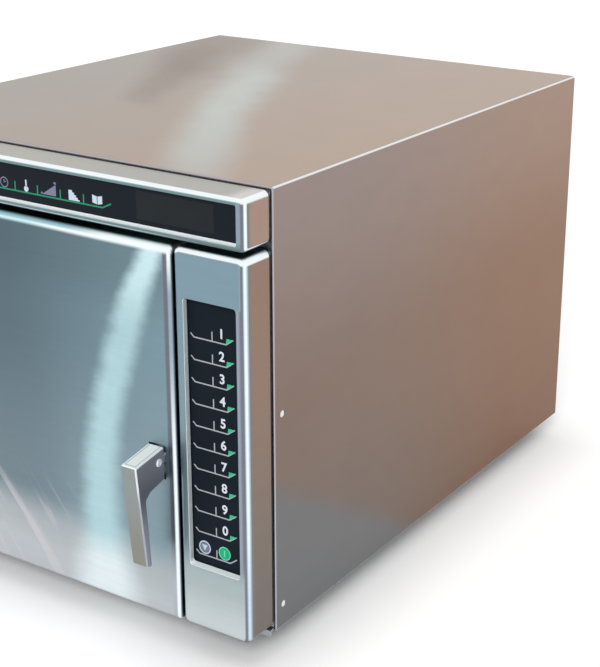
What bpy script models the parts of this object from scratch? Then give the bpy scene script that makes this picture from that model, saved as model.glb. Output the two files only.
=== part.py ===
"""A countertop speed oven, modelled as the separate pieces it is assembled from.

Metres, +Z up, the door faces -Y. The origin is under the middle of the whole
oven, on the surface that its feet stand on.
"""
import math

import bmesh
import bpy
from mathutils import Matrix, Vector

# Driving sizes of the whole oven
case_width = 0.489
case_height = 0.403
case_depth = 0.575
foot_height = 0.025
front_depth = 0.038
handle_reach = 0.0386
gland_reach = 0.0159

# Clearances and cutting
gap = 0.0003
overrun = 0.003
merge_distance = 0.00001
least_radius = 0.0001

# How finely round shapes are divided
corner_steps = 3
edge_steps = 2
round_sides = 16
hole_sides = 12
turn_steps = 24
small_sides = 8
sharp_degrees = 40

# Outer case: one wrapper for both sides and the top
case_sheet = 0.0012
case_bend = 0.0030
case_front_bend = 0.0018
case_hem = 0.0019
case_foot_flange = 0.014

# Front frame: the sheet that the door closes against
frame_sheet = 0.0015
lip_reach = 0.0055
lip_drop = 0.0065
lip_rise = 0.0035
lip_bend = 0.0020
opening_radius = 0.010

# Front covers: display hood along the top, control column down the right
side_setback = 0.0013
hood_top_gap = 0.002
hood_height = 0.0445
hood_wall = 0.0008
hood_edge = 0.0040
hood_corner = 0.0055
hood_window_border = 0.0076
hood_window_top = 0.0057
hood_window_bottom = 0.0052
hood_window_depth = 0.0030
hood_window_corner = 0.0015
column_width = 0.0720
column_wall = 0.0012
column_edge = 0.0050
column_corner = 0.0070
cover_rim_gap = 0.004
cover_joggle = 0.003
front_gap = 0.0042
lower_gap = 0.0050
keypad_left = 0.0096
keypad_right = 0.0092
keypad_top = 0.0433
keypad_bottom = 0.0611
keypad_depth = 0.0050
keypad_slope = 0.0011
keypad_corner = 0.0030
membrane_lap = 0.0030
membrane_sheet = 0.0015
glass_lap = 0.0015
glass_sheet = 0.0030
board_sheet = 0.0016
board_inset = 0.004
relay_size = 0.018
relay_height = 0.014
display_board_margin = 0.040
connector_width = 0.040
connector_height = 0.012

# Door
door_gap = 0.0022
door_wall = 0.0012
door_edge = 0.0050
door_corner = 0.0045
door_rear_gap = 0.004
door_return = 0.006
inner_margin = 0.0020
inner_sheet = 0.0010
seal_space = 0.0028
choke_offset = 0.002
choke_width = 0.020
choke_depth = 0.020
choke_corner = 0.008
choke_lap = 0.0008
choke_cover_sheet = 0.0015
seal_offset = 0.0280
seal_width = 0.005
seal_corner = 0.012
wadding_margin = 0.001

# Door hinges
hinge_inset = 0.010
hinge_setback = 0.012
hinge_sheet = 0.0018
hinge_gap = 0.0011
hinge_bend = 0.0023
hinge_plate_left = 0.0060
hinge_plate_right = 0.016
hinge_plate_nose = 0.009
hinge_plate_flange = 0.017
hinge_pin_radius = 0.0030
hinge_pin_depth = 0.014
bush_radius = 0.0055
bush_collar_radius = 0.0080
bush_collar = 0.0005
bush_depth = 0.012

# Handle lever, its bracket and pivot screw
handle_inset = 0.0207
handle_width = 0.0166
handle_drop = 0.1933
handle_edge = 0.0012
handle_fillet = 0.0020
handle_gap = 0.0005
handle_top_rise = 0.0120
handle_front_rise = 0.0055
handle_toe_reach = 0.0282
handle_toe_drop = 0.0915
handle_heel_reach = 0.0214
handle_heel_drop = 0.0937
handle_grip_top_reach = 0.0260
handle_grip_top_drop = 0.0289
handle_neck_reach = 0.0203
handle_neck_drop = 0.0235
handle_foot_drop = 0.0185
handle_hollow_half = 0.0045
handle_hollow_reach = 0.0200
handle_hollow_rise = 0.0076
handle_hollow_drop = 0.0125
handle_tab_depth = 0.0095
handle_tab_drop = 0.0030
handle_tab_height = 0.0070
pivot_reach = 0.0085
pivot_radius = 0.0025
pivot_head_radius = 0.0038
pivot_head = 0.0016
slot_margin = 0.0007
bracket_half = 0.0028
bracket_left = 0.0070
bracket_right = 0.0041
bracket_reach = 0.0140
bracket_rise = 0.0038
bracket_drop = 0.0080
bracket_sheet = 0.0020
bracket_hat = 0.0060
bracket_ear = 0.012

# Latch bar and its spring
latch_sheet = 0.0025
latch_clear = 0.0019
latch_front = 0.022
latch_rear = 0.012
latch_end_margin = 0.048
latch_hook_margin = 0.060
latch_hook_height = 0.010
latch_hook_reach = 0.014
latch_nose_rise = 0.003
latch_nose_length = 0.006
latch_ear = 0.0060
latch_ear_lap = 0.0035
latch_travel = 0.0066
latch_slot_play = 0.0015
latch_slot_swing = 0.0022
spring_setback = 0.0080
spring_radius = 0.0034
spring_wire = 0.0006
spring_turns = 9
spring_points = 10

# Chassis base and back panel
base_sheet = 0.0015
base_flange = 0.016
base_corner = 0.004
base_bend = 0.003
base_front_margin = 0.0008
back_sheet = 0.0012
back_flange = 0.018
back_corner = 0.003
back_setback = 0.0010
vent_rows = 9
vent_width = 0.060
vent_height = 0.005
vent_pitch = 0.012
vent_inset = 0.045
intake_columns = 8
intake_length = 0.090
intake_width = 0.006
intake_pitch = 0.016
intake_setback = 0.030

# Feet
foot_radius = 0.016
foot_neck_radius = 0.012
foot_inset_x = 0.070
foot_inset_front = 0.070
foot_inset_back = 0.060
foot_edge = 0.002
foot_stud_radius = 0.004
foot_stud_rise = 0.010

# Oven cavity and what lines it
cavity_left_margin = 0.04235
cavity_right_margin = 0.03985
cavity_top_margin = 0.0382
cavity_bottom_margin = 0.0421
cavity_rear_space = 0.1922
cavity_sheet = 0.0010
cavity_flange = 0.012
rear_border = 0.024
rear_radius = 0.020
chamber_depth = 0.060
chamber_flange = 0.010
chamber_sheet = 0.0010
fan_cover_sheet = 0.0015
fan_cover_lap = 0.008
fan_cover_hole = 0.0070
fan_cover_pitch = 0.021
fan_cover_rings = 2
fan_cover_first_ring = 6
fan_cover_slot_width = 0.008
fan_cover_slot_end = 0.0345
fan_cover_slot_inset = 0.030
rack_level = 0.060
rack_top_margin = 0.067
rack_levels = 2
rail_reach = 0.010
rail_height = 0.009
rail_sheet = 0.0012
rail_end = 0.020
rail_bend = 0.0015
rack_rim_radius = 0.0030
rack_wire_radius = 0.0016
rack_wires = 11
rack_side_play = 0.003
rack_end_play = 0.016
wadding_sheet = 0.018
wadding_end = 0.010
support_inset = 0.045
support_setback = 0.0777
support_length = 0.040
support_sheet = 0.0015
support_bend = 0.003

# Stirrer under the cavity's ceiling and its cover
stirrer_cover_margin = 0.050
stirrer_cover_depth = 0.024
stirrer_cover_sheet = 0.004
stirrer_cover_corner = 0.020
stirrer_cover_slope = 0.008
stirrer_cover_rim = 0.006
stirrer_gap = 0.030
stirrer_hub_radius = 0.016
stirrer_hub_height = 0.008
stirrer_blades = 3
stirrer_blade_width = 0.024
stirrer_blade_sheet = 0.0010
stirrer_tilt_share = 0.15
stirrer_drop = 0.008
stirrer_shaft_radius = 0.0030
waveguide_width = 0.086
waveguide_height = 0.043
waveguide_sheet = 0.0015
waveguide_left = 0.043
stirrer_motor_radius = 0.025
stirrer_motor_height = 0.020
stirrer_feed_radius = 0.014

# Convection fan, heater and motor
fan_gap = 0.018
fan_hub_radius = 0.013
fan_hub_length = 0.016
fan_disc = 0.0015
fan_blades = 14
fan_blade_height = 0.026
fan_blade_length = 0.030
fan_blade_sheet = 0.0012
fan_blade_sweep_share = 0.55
fan_blade_steps = 4
fan_front_gap = 0.012
fan_shaft_radius = 0.004
heater_gap = 0.0215
heater_wire = 0.0035
heater_pitch = 0.018
heater_turns = 2
heater_points = 20
heater_tail = 0.030
heater_lead = 0.012
heater_lead_setback = 0.006
heater_lead_bend = 0.003
fan_motor_radius = 0.036
fan_motor_length = 0.045
fan_motor_standoff = 0.016
fan_motor_leg = 0.005
fan_motor_bevel = 0.004

# Microwave supply
magnetron_width = 0.078
magnetron_length = 0.094
magnetron_height = 0.100
magnetron_fins = 9
magnetron_fin_sheet = 0.0012
magnetron_core_radius = 0.024
magnetron_plate = 0.0025
magnetron_antenna_radius = 0.010
magnetron_antenna = 0.024
magnetron_margin = 0.0040
transformer_width = 0.074
transformer_length = 0.100
transformer_height = 0.082
transformer_stack = 0.046
transformer_coil = 0.066
transformer_foot = 0.004
transformer_setback = 0.090
capacitor_width = 0.052
capacitor_thickness = 0.034
capacitor_height = 0.095
capacitor_setback = 0.205
compartment_margin = 0.008
terminal_radius = 0.003
terminal_rise = 0.010
terminal_offset = 0.0104

# Cooling fan at the back, air filter at the base
cooler_frame = 0.080
cooler_depth = 0.030
cooler_bore_radius = 0.037
cooler_rise = 0.250
cooler_hub_radius = 0.014
cooler_blades = 7
cooler_tip_gap = 0.002
cooler_blade_sheet = 0.0012
cooler_blade_turn_share = 0.10
cooler_arm = 0.006
cooler_hub_gap = 0.0006
filter_thickness = 0.008
filter_border = 0.008
filter_margin = 0.004

# Interlock switches beside the latch hooks
switch_width = 0.010
switch_depth = 0.020
switch_height = 0.028
switch_plunger = 0.0015
switch_offset = 0.006

# Cable gland
gland_radius = 0.013
gland_bore = 0.0055
gland_collar_radius = 0.017
gland_collar = 0.003
gland_x_inset = 0.050
gland_rise = 0.045
gland_inner = 0.010

# Planes that the pieces share
back_y = (handle_reach + front_depth + case_depth + gland_reach) / 2 - gland_reach
case_y = back_y - case_depth
face_y = case_y - front_depth
base_z = foot_height
top_z = foot_height + case_height
right_x = case_width / 2
left_x = -right_x

cover_right = right_x - side_setback
cover_left = -cover_right
cover_rim_y = case_y - cover_rim_gap
hood_top = top_z - hood_top_gap
hood_bottom = hood_top - hood_height
door_top = hood_bottom - front_gap
door_bottom = base_z + lower_gap
column_left = cover_right - column_width
door_left = cover_left
door_right = column_left - door_gap

cavity_left = door_left + cavity_left_margin
cavity_right = door_right - cavity_right_margin
cavity_floor = door_bottom + cavity_bottom_margin
cavity_ceiling = door_top - cavity_top_margin
cavity_x = (cavity_left + cavity_right) / 2
cavity_z = (cavity_floor + cavity_ceiling) / 2
frame_back_y = case_y + frame_sheet
liner_y = frame_back_y + gap
liner_back_y = back_y - cavity_rear_space
cavity_mid_y = (liner_y + liner_back_y) / 2
rack_pitch = (cavity_ceiling - cavity_floor - rack_level - rack_top_margin) / rack_levels
stirrer_half = min(cavity_right - cavity_left, liner_back_y - liner_y) / 2 - stirrer_cover_margin
stirrer_radius = stirrer_half - stirrer_gap

frame_half = right_x - case_hem - gap * 2
frame_top = top_z - case_hem - gap * 2
lip_z = base_z + lip_rise
floor_z = base_z + case_sheet + gap
base_top = floor_z + base_sheet

hinge_x = door_left + hinge_inset
hinge_y = face_y + hinge_setback
hinge_back_y = frame_back_y + gap + hinge_sheet
pivot_x = door_right - handle_inset
pivot_y = face_y - pivot_reach
pivot_z = door_top - handle_drop

inner_y = case_y - seal_space
choke_floor_y = inner_y - choke_depth
choke_outer = choke_offset + choke_width
latch_left = cavity_right + choke_outer + inner_sheet + latch_clear
latch_right = latch_left + latch_sheet
latch_front_y = case_y - latch_front
latch_rear_y = case_y - latch_rear
latch_top = door_top - latch_end_margin
latch_foot = door_bottom + latch_end_margin
hook_uppers = (door_top - latch_hook_margin, door_bottom + latch_hook_margin)
spring_y = face_y + spring_setback
spring_x = (latch_left + latch_right) / 2
tab_bottom = pivot_z - handle_tab_drop
tab_end_y = face_y + handle_tab_depth

chamber_y = liner_back_y + cavity_sheet + gap
chamber_back_y = chamber_y + chamber_depth
rear_left = cavity_left + rear_border
rear_right = cavity_right - rear_border
rear_bottom = cavity_floor + rear_border
rear_top = cavity_ceiling - rear_border
rear_half = min(rear_right - rear_left, rear_top - rear_bottom) / 2
heater_radius = rear_half - heater_gap
fan_radius = heater_radius - fan_gap
fan_blade_inner = fan_radius - fan_blade_length
fan_y = liner_back_y + fan_front_gap
compartment_left = cavity_right + cavity_sheet + gap + wadding_sheet + compartment_margin
compartment_x = (compartment_left + right_x - case_sheet) / 2
guide_bottom = cavity_ceiling + cavity_sheet + gap
guide_top = guide_bottom + waveguide_height
base_front_y = hinge_back_y + base_front_margin
base_back_y = back_y - back_setback - back_flange - gap
cooler_x = compartment_x
cooler_z = base_z + cooler_rise
cooler_back_y = back_y - back_setback - back_sheet - gap


def clear_scene():
    """Empties the scene, so that the script can be run again."""
    for old in list(bpy.data.objects):
        bpy.data.objects.remove(old, do_unlink=True)


def make_collection(name):
    """A new collection under the scene's own."""
    group = bpy.data.collections.new(name)
    bpy.context.scene.collection.children.link(group)
    return group


clear_scene()
parts = make_collection("speed_oven")
cutters = make_collection("cutters")


def finish_material(name, colour, roughness, metallic):
    """A plain Principled material."""
    mat = bpy.data.materials.new(name)
    mat.use_nodes = True
    shader = mat.node_tree.nodes["Principled BSDF"]
    shader.inputs["Base Color"].default_value = (*colour, 1)
    shader.inputs["Roughness"].default_value = roughness
    shader.inputs["Metallic"].default_value = metallic
    return mat


case_steel = finish_material("case_steel", (0.50, 0.46, 0.42), 0.38, 1)
front_steel = finish_material("front_steel", (0.56, 0.62, 0.64), 0.33, 1)
inner_steel = finish_material("inner_steel", (0.62, 0.63, 0.63), 0.30, 1)
zinc_steel = finish_material("zinc_steel", (0.55, 0.56, 0.57), 0.45, 1)
handle_steel = finish_material("handle_steel", (0.55, 0.54, 0.52), 0.35, 1)
black_glass = finish_material("black_glass", (0.012, 0.016, 0.020), 0.12, 0)
black_film = finish_material("black_film", (0.014, 0.018, 0.022), 0.30, 0)
black_plastic = finish_material("black_plastic", (0.03, 0.03, 0.03), 0.50, 0)
rubber = finish_material("rubber", (0.025, 0.025, 0.025), 0.75, 0)
silicone = finish_material("silicone", (0.20, 0.20, 0.21), 0.65, 0)
white_plastic = finish_material("white_plastic", (0.75, 0.75, 0.73), 0.45, 0)
ceramic = finish_material("ceramic", (0.80, 0.79, 0.75), 0.40, 0)
wadding = finish_material("wadding", (0.72, 0.70, 0.62), 0.95, 0)
circuit = finish_material("circuit", (0.03, 0.20, 0.09), 0.45, 0)
lacquer = finish_material("lacquer", (0.10, 0.10, 0.11), 0.55, 0)
element_steel = finish_material("element_steel", (0.16, 0.15, 0.15), 0.50, 1)
aluminium = finish_material("aluminium", (0.72, 0.73, 0.74), 0.35, 1)
filter_mesh = finish_material("filter_mesh", (0.35, 0.36, 0.37), 0.50, 1)


def link_piece(obj, mat):
    """Puts an object in the model with its material."""
    obj.data.materials.append(mat)
    parts.objects.link(obj)
    return obj


def link_cutter(obj):
    """Puts an object among the cutters, shown as wire only."""
    cutters.objects.link(obj)
    obj.hide_render = True
    obj.display_type = "WIRE"
    return obj


def object_from(bm, name, mat=None):
    """Turns a bmesh into a piece, or into a cutter where it has no material."""
    mesh = bpy.data.meshes.new(name)
    bm.to_mesh(mesh)
    bm.free()
    obj = bpy.data.objects.new(name, mesh)
    return link_piece(obj, mat) if mat else link_cutter(obj)


def smooth(obj):
    """Shades round stretches smooth and keeps the sharp edges."""
    obj.data.shade_smooth()
    obj.data.set_sharp_from_angle(angle=math.radians(sharp_degrees))
    return obj


def block(name, low, high, mat=None, radius=0.0, along=None, steps=corner_steps):
    """A box between two corners. Its edges along one axis, or all, can be rounded."""
    low, high = Vector(low), Vector(high)
    bm = bmesh.new()
    bmesh.ops.create_cube(bm, size=1)
    bmesh.ops.scale(bm, vec=high - low, verts=bm.verts)
    bmesh.ops.translate(bm, vec=(low + high) / 2, verts=bm.verts)
    if radius:
        def chosen(edge):
            run = (edge.verts[1].co - edge.verts[0].co).normalized()
            return along is None or abs(run["xyz".index(along)]) > 0.5
        bmesh.ops.bevel(
            bm, geom=[e for e in bm.edges if chosen(e)], offset=radius, segments=steps,
            profile=0.5, affect="EDGES", clamp_overlap=True)
    return object_from(bm, name, mat)


def rod_into(bm, start, end, radius, sides=round_sides):
    """Adds a capped cylinder from start to end to a bmesh."""
    start, end = Vector(start), Vector(end)
    run = end - start
    turn = run.to_track_quat("Z", "Y").to_matrix().to_4x4()
    place = Matrix.Translation((start + end) / 2) @ turn
    bmesh.ops.create_cone(
        bm, cap_ends=True, segments=sides, radius1=radius, radius2=radius,
        depth=run.length, matrix=place)


def rod(name, start, end, radius, mat=None, sides=round_sides):
    """A capped cylinder from start to end."""
    bm = bmesh.new()
    rod_into(bm, start, end, radius, sides)
    return object_from(bm, name, mat)


def turned(name, profile, foot, direction, mat, steps=turn_steps, closed=False):
    """A profile of (radius, height) pairs, from the top down, turned about an axis."""
    mesh = bpy.data.meshes.new(name)
    count = len(profile)
    edges = [(i, i + 1) for i in range(count - 1)]
    if closed:
        edges.append((count - 1, 0))
    mesh.from_pydata([(r, 0, h) for r, h in profile], edges, [])
    obj = link_piece(bpy.data.objects.new(name, mesh), mat)
    turn = Vector(direction).to_track_quat("Z", "Y").to_matrix().to_4x4()
    obj.matrix_world = Matrix.Translation(foot) @ turn
    screw = obj.modifiers.new("Turn", "SCREW")
    screw.steps = steps
    screw.render_steps = steps
    screw.use_merge_vertices = True
    screw.merge_threshold = merge_distance
    return obj


def boolean(target, other, operation, solver):
    """Cuts one object with another, or joins them, and keeps it live."""
    mod = target.modifiers.new(operation.title(), "BOOLEAN")
    mod.operation = operation
    mod.solver = solver
    mod.object = other
    return target


def cut(target, *others, solver="EXACT"):
    """Takes each of the other shapes out of the target."""
    for other in others:
        boolean(target, other, "DIFFERENCE", solver)
    return target


def join(target, *others, solver="EXACT"):
    """Makes the target and each of the other shapes one solid."""
    for other in others:
        boolean(target, other, "UNION", solver)
    return target


def fillet(points, radius, closed=True, steps=corner_steps):
    """Rounds the corners of an outline. A radius of its own may follow a point."""
    rounded = []
    count = len(points)
    for i, corner in enumerate(points):
        here = Vector(corner[:2])
        size = corner[2] if len(corner) > 2 else radius
        if not closed and i in (0, count - 1) or not size:
            rounded.append(here)
            continue
        before = Vector(points[i - 1][:2]) - here
        after = Vector(points[(i + 1) % count][:2]) - here
        half = before.angle(after) / 2
        run = min(size / math.tan(half), before.length / 2, after.length / 2)
        first = here + before.normalized() * run
        size = run * math.tan(half)
        centre = here + (before.normalized() + after.normalized()).normalized() * (
            size / math.sin(half))
        start = first - centre
        sweep = start.angle_signed(here + after.normalized() * run - centre)
        for k in range(steps + 1):
            rounded.append(centre + Matrix.Rotation(-sweep * k / steps, 2) @ start)
    return rounded


def surface(name, rows, mat, sheet, side, closed=True, first_cap=False, last_cap=False):
    """A sheet through rows of points, given its thickness by Solidify."""
    bm = bmesh.new()
    lines = [[bm.verts.new(p) for p in row] for row in rows]
    count = len(rows[0])
    for a, b in zip(lines, lines[1:]):
        for i in range(count if closed else count - 1):
            j = (i + 1) % count
            bm.faces.new((a[i], a[j], b[j], b[i]))
    if first_cap:
        bm.faces.new(reversed(lines[0]))
    if last_cap:
        bm.faces.new(lines[-1])
    obj = object_from(bm, name, mat)
    solid = obj.modifiers.new("Sheet", "SOLIDIFY")
    solid.thickness = sheet
    solid.offset = side
    solid.use_even_offset = True
    solid.use_quality_normals = True
    return obj


def ring(x0, x1, z0, z1, y, radius, steps=corner_steps):
    """An upright rounded rectangle, anticlockwise as seen from the front."""
    size = max(radius, least_radius)
    flat = fillet([(x1, z0), (x1, z1), (x0, z1), (x0, z0)], size, steps=steps)
    return [Vector((p.x, y, p.y)) for p in flat]


def level_ring(x0, x1, y0, y1, z, radius, steps=corner_steps):
    """A level rounded rectangle, anticlockwise as seen from above."""
    size = max(radius, least_radius)
    flat = fillet([(x1, y0), (x1, y1), (x0, y1), (x0, y0)], size, steps=steps)
    return [Vector((p.x, p.y, z)) for p in flat]


def folded(name, outline, bend, start_x, end_x, mat, sheet, side):
    """A sheet bent along an outline in (y, z), running from start_x to end_x."""
    flat = fillet(outline, bend, closed=False)
    rows = [[Vector((x, p.x, p.y)) for p in flat] for x in (start_x, end_x)]
    return surface(name, rows, mat, sheet, side, closed=False)


front_view = Matrix.Rotation(math.radians(90), 4, "X")
side_view = Matrix(((0, 0, 1, 0), (1, 0, 0, 0), (0, 1, 0, 0), (0, 0, 0, 1)))


def outline_solid(name, loops, thickness, place, mat=None, edge=0.0):
    """A flat outline with holes, given a thickness and, if asked, rounded edges."""
    curve = bpy.data.curves.new(name, "CURVE")
    curve.dimensions = "2D"
    curve.fill_mode = "BOTH"
    curve.extrude = thickness / 2 - edge
    curve.bevel_depth = edge
    curve.bevel_resolution = 1
    curve.offset = -edge
    for loop in loops:
        spline = curve.splines.new("POLY")
        spline.points.add(len(loop) - 1)
        for point, place_2d in zip(spline.points, loop):
            point.co = (place_2d[0], place_2d[1], 0, 1)
        spline.use_cyclic_u = True
    guide = link_cutter(bpy.data.objects.new(name + "_outline", curve))
    guide.matrix_world = place
    return meshed(guide, name, mat)


def meshed(guide, name, mat):
    """Makes a curve into a closed mesh object in the same place."""
    bpy.context.view_layer.update()
    graph = bpy.context.evaluated_depsgraph_get()
    mesh = bpy.data.meshes.new_from_object(guide.evaluated_get(graph))
    mesh.name = name
    mesh.materials.clear()
    bm = bmesh.new()
    bm.from_mesh(mesh)
    bmesh.ops.remove_doubles(bm, verts=bm.verts, dist=merge_distance)
    bm.to_mesh(mesh)
    bm.free()
    obj = bpy.data.objects.new(name, mesh)
    place = guide.matrix_world.copy()
    bpy.data.objects.remove(guide, do_unlink=True)
    link_piece(obj, mat) if mat else link_cutter(obj)
    obj.matrix_world = place
    return obj


def tube(name, points, radius, mat, detail=2):
    """A round wire or tube along points, with closed ends."""
    curve = bpy.data.curves.new(name, "CURVE")
    curve.dimensions = "3D"
    curve.bevel_depth = radius
    curve.bevel_resolution = detail
    curve.use_fill_caps = True
    curve.render_resolution_u = 0
    spline = curve.splines.new("POLY")
    spline.points.add(len(points) - 1)
    for point, place in zip(spline.points, points):
        point.co = (*place, 1)
    return link_piece(bpy.data.objects.new(name, curve), mat)


def circle(x, y, radius, sides=hole_sides):
    """A round loop of points."""
    turns = (2 * math.pi * k / sides for k in range(sides))
    return [(x + radius * math.cos(t), y + radius * math.sin(t)) for t in turns]


def axis_empty(name, place):
    """An empty on a joint's axis, which carries the pieces that move with it."""
    empty = bpy.data.objects.new(name, None)
    parts.objects.link(empty)
    empty.location = place
    return empty


def carry(empty, *pieces):
    """Parents pieces to an empty without moving them."""
    bpy.context.view_layer.update()
    for obj in pieces:
        place = obj.matrix_world.copy()
        obj.parent = empty
        obj.matrix_parent_inverse = empty.matrix_world.inverted()
        obj.matrix_world = place


# Case and chassis

def case_profile(inset, y):
    """The wrapper's bent section: foot flanges, sides and top."""
    bend = max(case_bend - inset, least_radius)
    left, right = left_x + inset, right_x - inset
    low, high = base_z + inset, top_z - inset
    flange = case_foot_flange - inset
    corners = [(left + flange, low), (left, low), (left, high),
               (right, high), (right, low), (right - flange, low)]
    return [Vector((p.x, y, p.y)) for p in fillet(corners, bend, closed=False)]


def make_outer_case():
    """The wrapper, with its front edge turned in round a small bend."""
    rows = [case_profile(0, back_y)]
    for k in range(edge_steps + 1):
        turn = math.pi / 2 * k / edge_steps
        inset = case_front_bend * (1 - math.cos(turn))
        rows.append(case_profile(inset, case_y + case_front_bend * (1 - math.sin(turn))))
    rows.append(case_profile(case_hem, case_y))
    return smooth(surface("outer_case", rows, case_steel, case_sheet, 1, closed=False))


def latch_slots(name, front, back, swing):
    """Cutters for the two slots that the latch hooks pass through."""
    low_play = latch_travel + latch_slot_play
    high_play = latch_nose_rise + latch_slot_play
    slots = []
    for number, hook_z in enumerate(hook_uppers):
        slots.append(block(
            f"{name}_{number}",
            (latch_left - gap, front, hook_z - latch_hook_height - low_play),
            (latch_right + gap + swing, back, hook_z + high_play)))
    return slots


def hinge_plate_levels():
    """The underside heights of the upper and the lower hinge plate."""
    return door_top + hinge_gap, door_bottom - hinge_gap - hinge_sheet


def make_front_frame():
    """The front sheet: cavity opening, latch and hinge slots, and a lip along the foot."""
    lip_y = case_y - lip_reach
    outline = [(lip_y, lip_z - lip_drop), (lip_y, lip_z), (case_y, lip_z), (case_y, frame_top)]
    frame = folded("front_frame", outline, lip_bend, -frame_half, frame_half,
                   zinc_steel, frame_sheet, 1)
    cut(frame, block(
        "frame_opening", (cavity_left, case_y - overrun, cavity_floor),
        (cavity_right, frame_back_y + overrun, cavity_ceiling)))
    cut(frame, *latch_slots("frame_latch_slot", case_y - overrun, frame_back_y + overrun,
                            latch_slot_swing))
    upper_level, lower_level = hinge_plate_levels()
    slot_right = hinge_x + hinge_plate_right + gap
    cut(frame, block(
        "upper_hinge_slot",
        (hinge_x - hinge_plate_left - gap, case_y - overrun, upper_level - gap),
        (slot_right, frame_back_y + overrun, upper_level + hinge_sheet + gap)))
    cut(frame, block(
        "lower_hinge_notch",
        (-frame_half - overrun, lip_y - overrun, lip_z - lip_drop - overrun),
        (slot_right, frame_back_y + overrun, lower_level + hinge_sheet + gap)))
    return frame


def foot_places():
    """Where the four feet stand, by name."""
    x = right_x - foot_inset_x
    front, back = case_y + foot_inset_front, back_y - foot_inset_back
    return {"front_left": (-x, front), "front_right": (x, front),
            "rear_left": (-x, back), "rear_right": (x, back)}


def make_chassis_base():
    """The tray that carries the chassis, with intake slots and holes for the feet."""
    half = right_x - case_sheet - gap
    tray = (-half, half, base_front_y, base_back_y)
    bend = base_bend
    inner = (-half + bend, half - bend, base_front_y + bend, base_back_y - bend)
    rows = [level_ring(*tray, floor_z + base_flange, base_corner),
            level_ring(*tray, floor_z + bend, base_corner),
            level_ring(*inner, floor_z, base_corner)]
    base = surface("chassis_base", rows, zinc_steel, base_sheet, 1, last_cap=True)
    for place, (x, y) in foot_places().items():
        cut(base, rod("stud_hole_" + place, (x, y, floor_z - overrun),
                      (x, y, base_top + overrun), foot_stud_radius + gap, sides=hole_sides))
    first = cavity_x - intake_pitch * (intake_columns - 1) / 2
    start_y = base_front_y + intake_setback
    for k in range(intake_columns):
        x = first + intake_pitch * k
        cut(base, block(
            f"intake_slot_{k}", (x - intake_width / 2, start_y, floor_z - overrun),
            (x + intake_width / 2, start_y + intake_length, base_top + overrun)))
    return base


def make_back_panel():
    """The rear sheet with its flanges, two banks of vents and the gland hole."""
    outer_y = back_y - back_setback
    half = right_x - case_sheet - gap
    low = floor_z
    high = top_z - case_sheet - gap
    rows = [ring(-half, half, low, high, outer_y - back_flange, back_corner),
            ring(-half, half, low, high, outer_y, back_corner)]
    panel = surface("back_panel", rows, case_steel, back_sheet, 1, last_cap=True)
    vent_x = right_x - vent_inset - vent_width / 2
    for side in (-1, 1):
        for k in range(vent_rows):
            z = cooler_z + vent_pitch * (k - (vent_rows - 1) / 2)
            cut(panel, block(
                f"vent_{'left' if side < 0 else 'right'}_{k}",
                (side * vent_x - vent_width / 2, outer_y - back_sheet - overrun,
                 z - vent_height / 2),
                (side * vent_x + vent_width / 2, outer_y + overrun, z + vent_height / 2)))
    x, z = gland_place()
    cut(panel, rod("gland_hole", (x, outer_y - back_sheet - overrun, z),
                   (x, outer_y + overrun, z), gland_radius + gap))
    return panel


def gland_place():
    """Where the cable gland sits on the back, as (x, z)."""
    return left_x + gland_x_inset, base_z + gland_rise


def make_cable_gland():
    """The gland for a mains lead: a collar outside, a sleeve through the sheet."""
    x, z = gland_place()
    sheet_y = back_y - back_setback
    length = back_y + gland_reach - sheet_y
    profile = [(gland_bore, length), (gland_radius, length), (gland_radius, gland_collar + gap),
               (gland_collar_radius, gland_collar + gap), (gland_collar_radius, gap),
               (gland_radius, gap), (gland_radius, -gland_inner), (gland_bore, -gland_inner)]
    return smooth(turned("cable_gland", profile, (x, sheet_y, z), (0, 1, 0), black_plastic,
                         closed=True))


def make_feet():
    """Four rubber feet on studs."""
    made = []
    body = foot_height + case_sheet
    profile = [(0, body + gap + base_sheet + foot_stud_rise),
               (foot_stud_radius, body + gap + base_sheet + foot_stud_rise),
               (foot_stud_radius, body), (foot_neck_radius, body),
               (foot_radius, foot_edge * 2), (foot_radius, foot_edge),
               (foot_radius - foot_edge, 0), (0, 0)]
    for place, (x, y) in foot_places().items():
        made.append(smooth(turned("foot_" + place, profile, (x, y, 0), (0, 0, 1), rubber)))
    return made


# Front covers

def cover_rows(x0, x1, z0, z1, edge, corner, back_rows, y=face_y):
    """Rows of a cover from its flat face round the front edge to its back rim."""
    rows = []
    for k in range(edge_steps + 1):
        turn = math.pi / 2 * k / edge_steps
        inset = edge * (1 - math.sin(turn))
        rows.append(ring(x0 + inset, x1 - inset, z0 + inset, z1 - inset,
                         y + edge * (1 - math.cos(turn)), corner - inset))
    for inset, row_y in back_rows:
        rows.append(ring(x0 + inset, x1 - inset, z0 + inset, z1 - inset, row_y,
                         corner - inset))
    return rows


def joggled_back():
    """A cover's rear rows: a step in, then the rim that meets the front frame."""
    return [(0, cover_rim_y), (cover_joggle, cover_rim_y), (cover_joggle, case_y - gap)]


def hood_window():
    """The display window's edges: left, right, bottom, top."""
    return (cover_left + hood_window_border, cover_right - hood_window_border,
            hood_bottom + hood_window_bottom, hood_top - hood_window_top)


def keypad_window():
    """The keypad recess's edges: left, right, bottom, top."""
    return (column_left + keypad_left, cover_right - keypad_right,
            door_bottom + keypad_bottom, door_top - keypad_top)


def make_display_hood():
    """The cover across the top, with a shallow window for the display glass."""
    x0, x1, z0, z1 = hood_window()
    rows = [ring(x0, x1, z0, z1, face_y + hood_window_depth, hood_window_corner),
            ring(x0, x1, z0, z1, face_y, hood_window_corner)]
    rows += cover_rows(cover_left, cover_right, hood_bottom, hood_top, hood_edge,
                       hood_corner, joggled_back())
    return smooth(surface("display_hood", rows, front_steel, hood_wall, 1))


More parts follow.
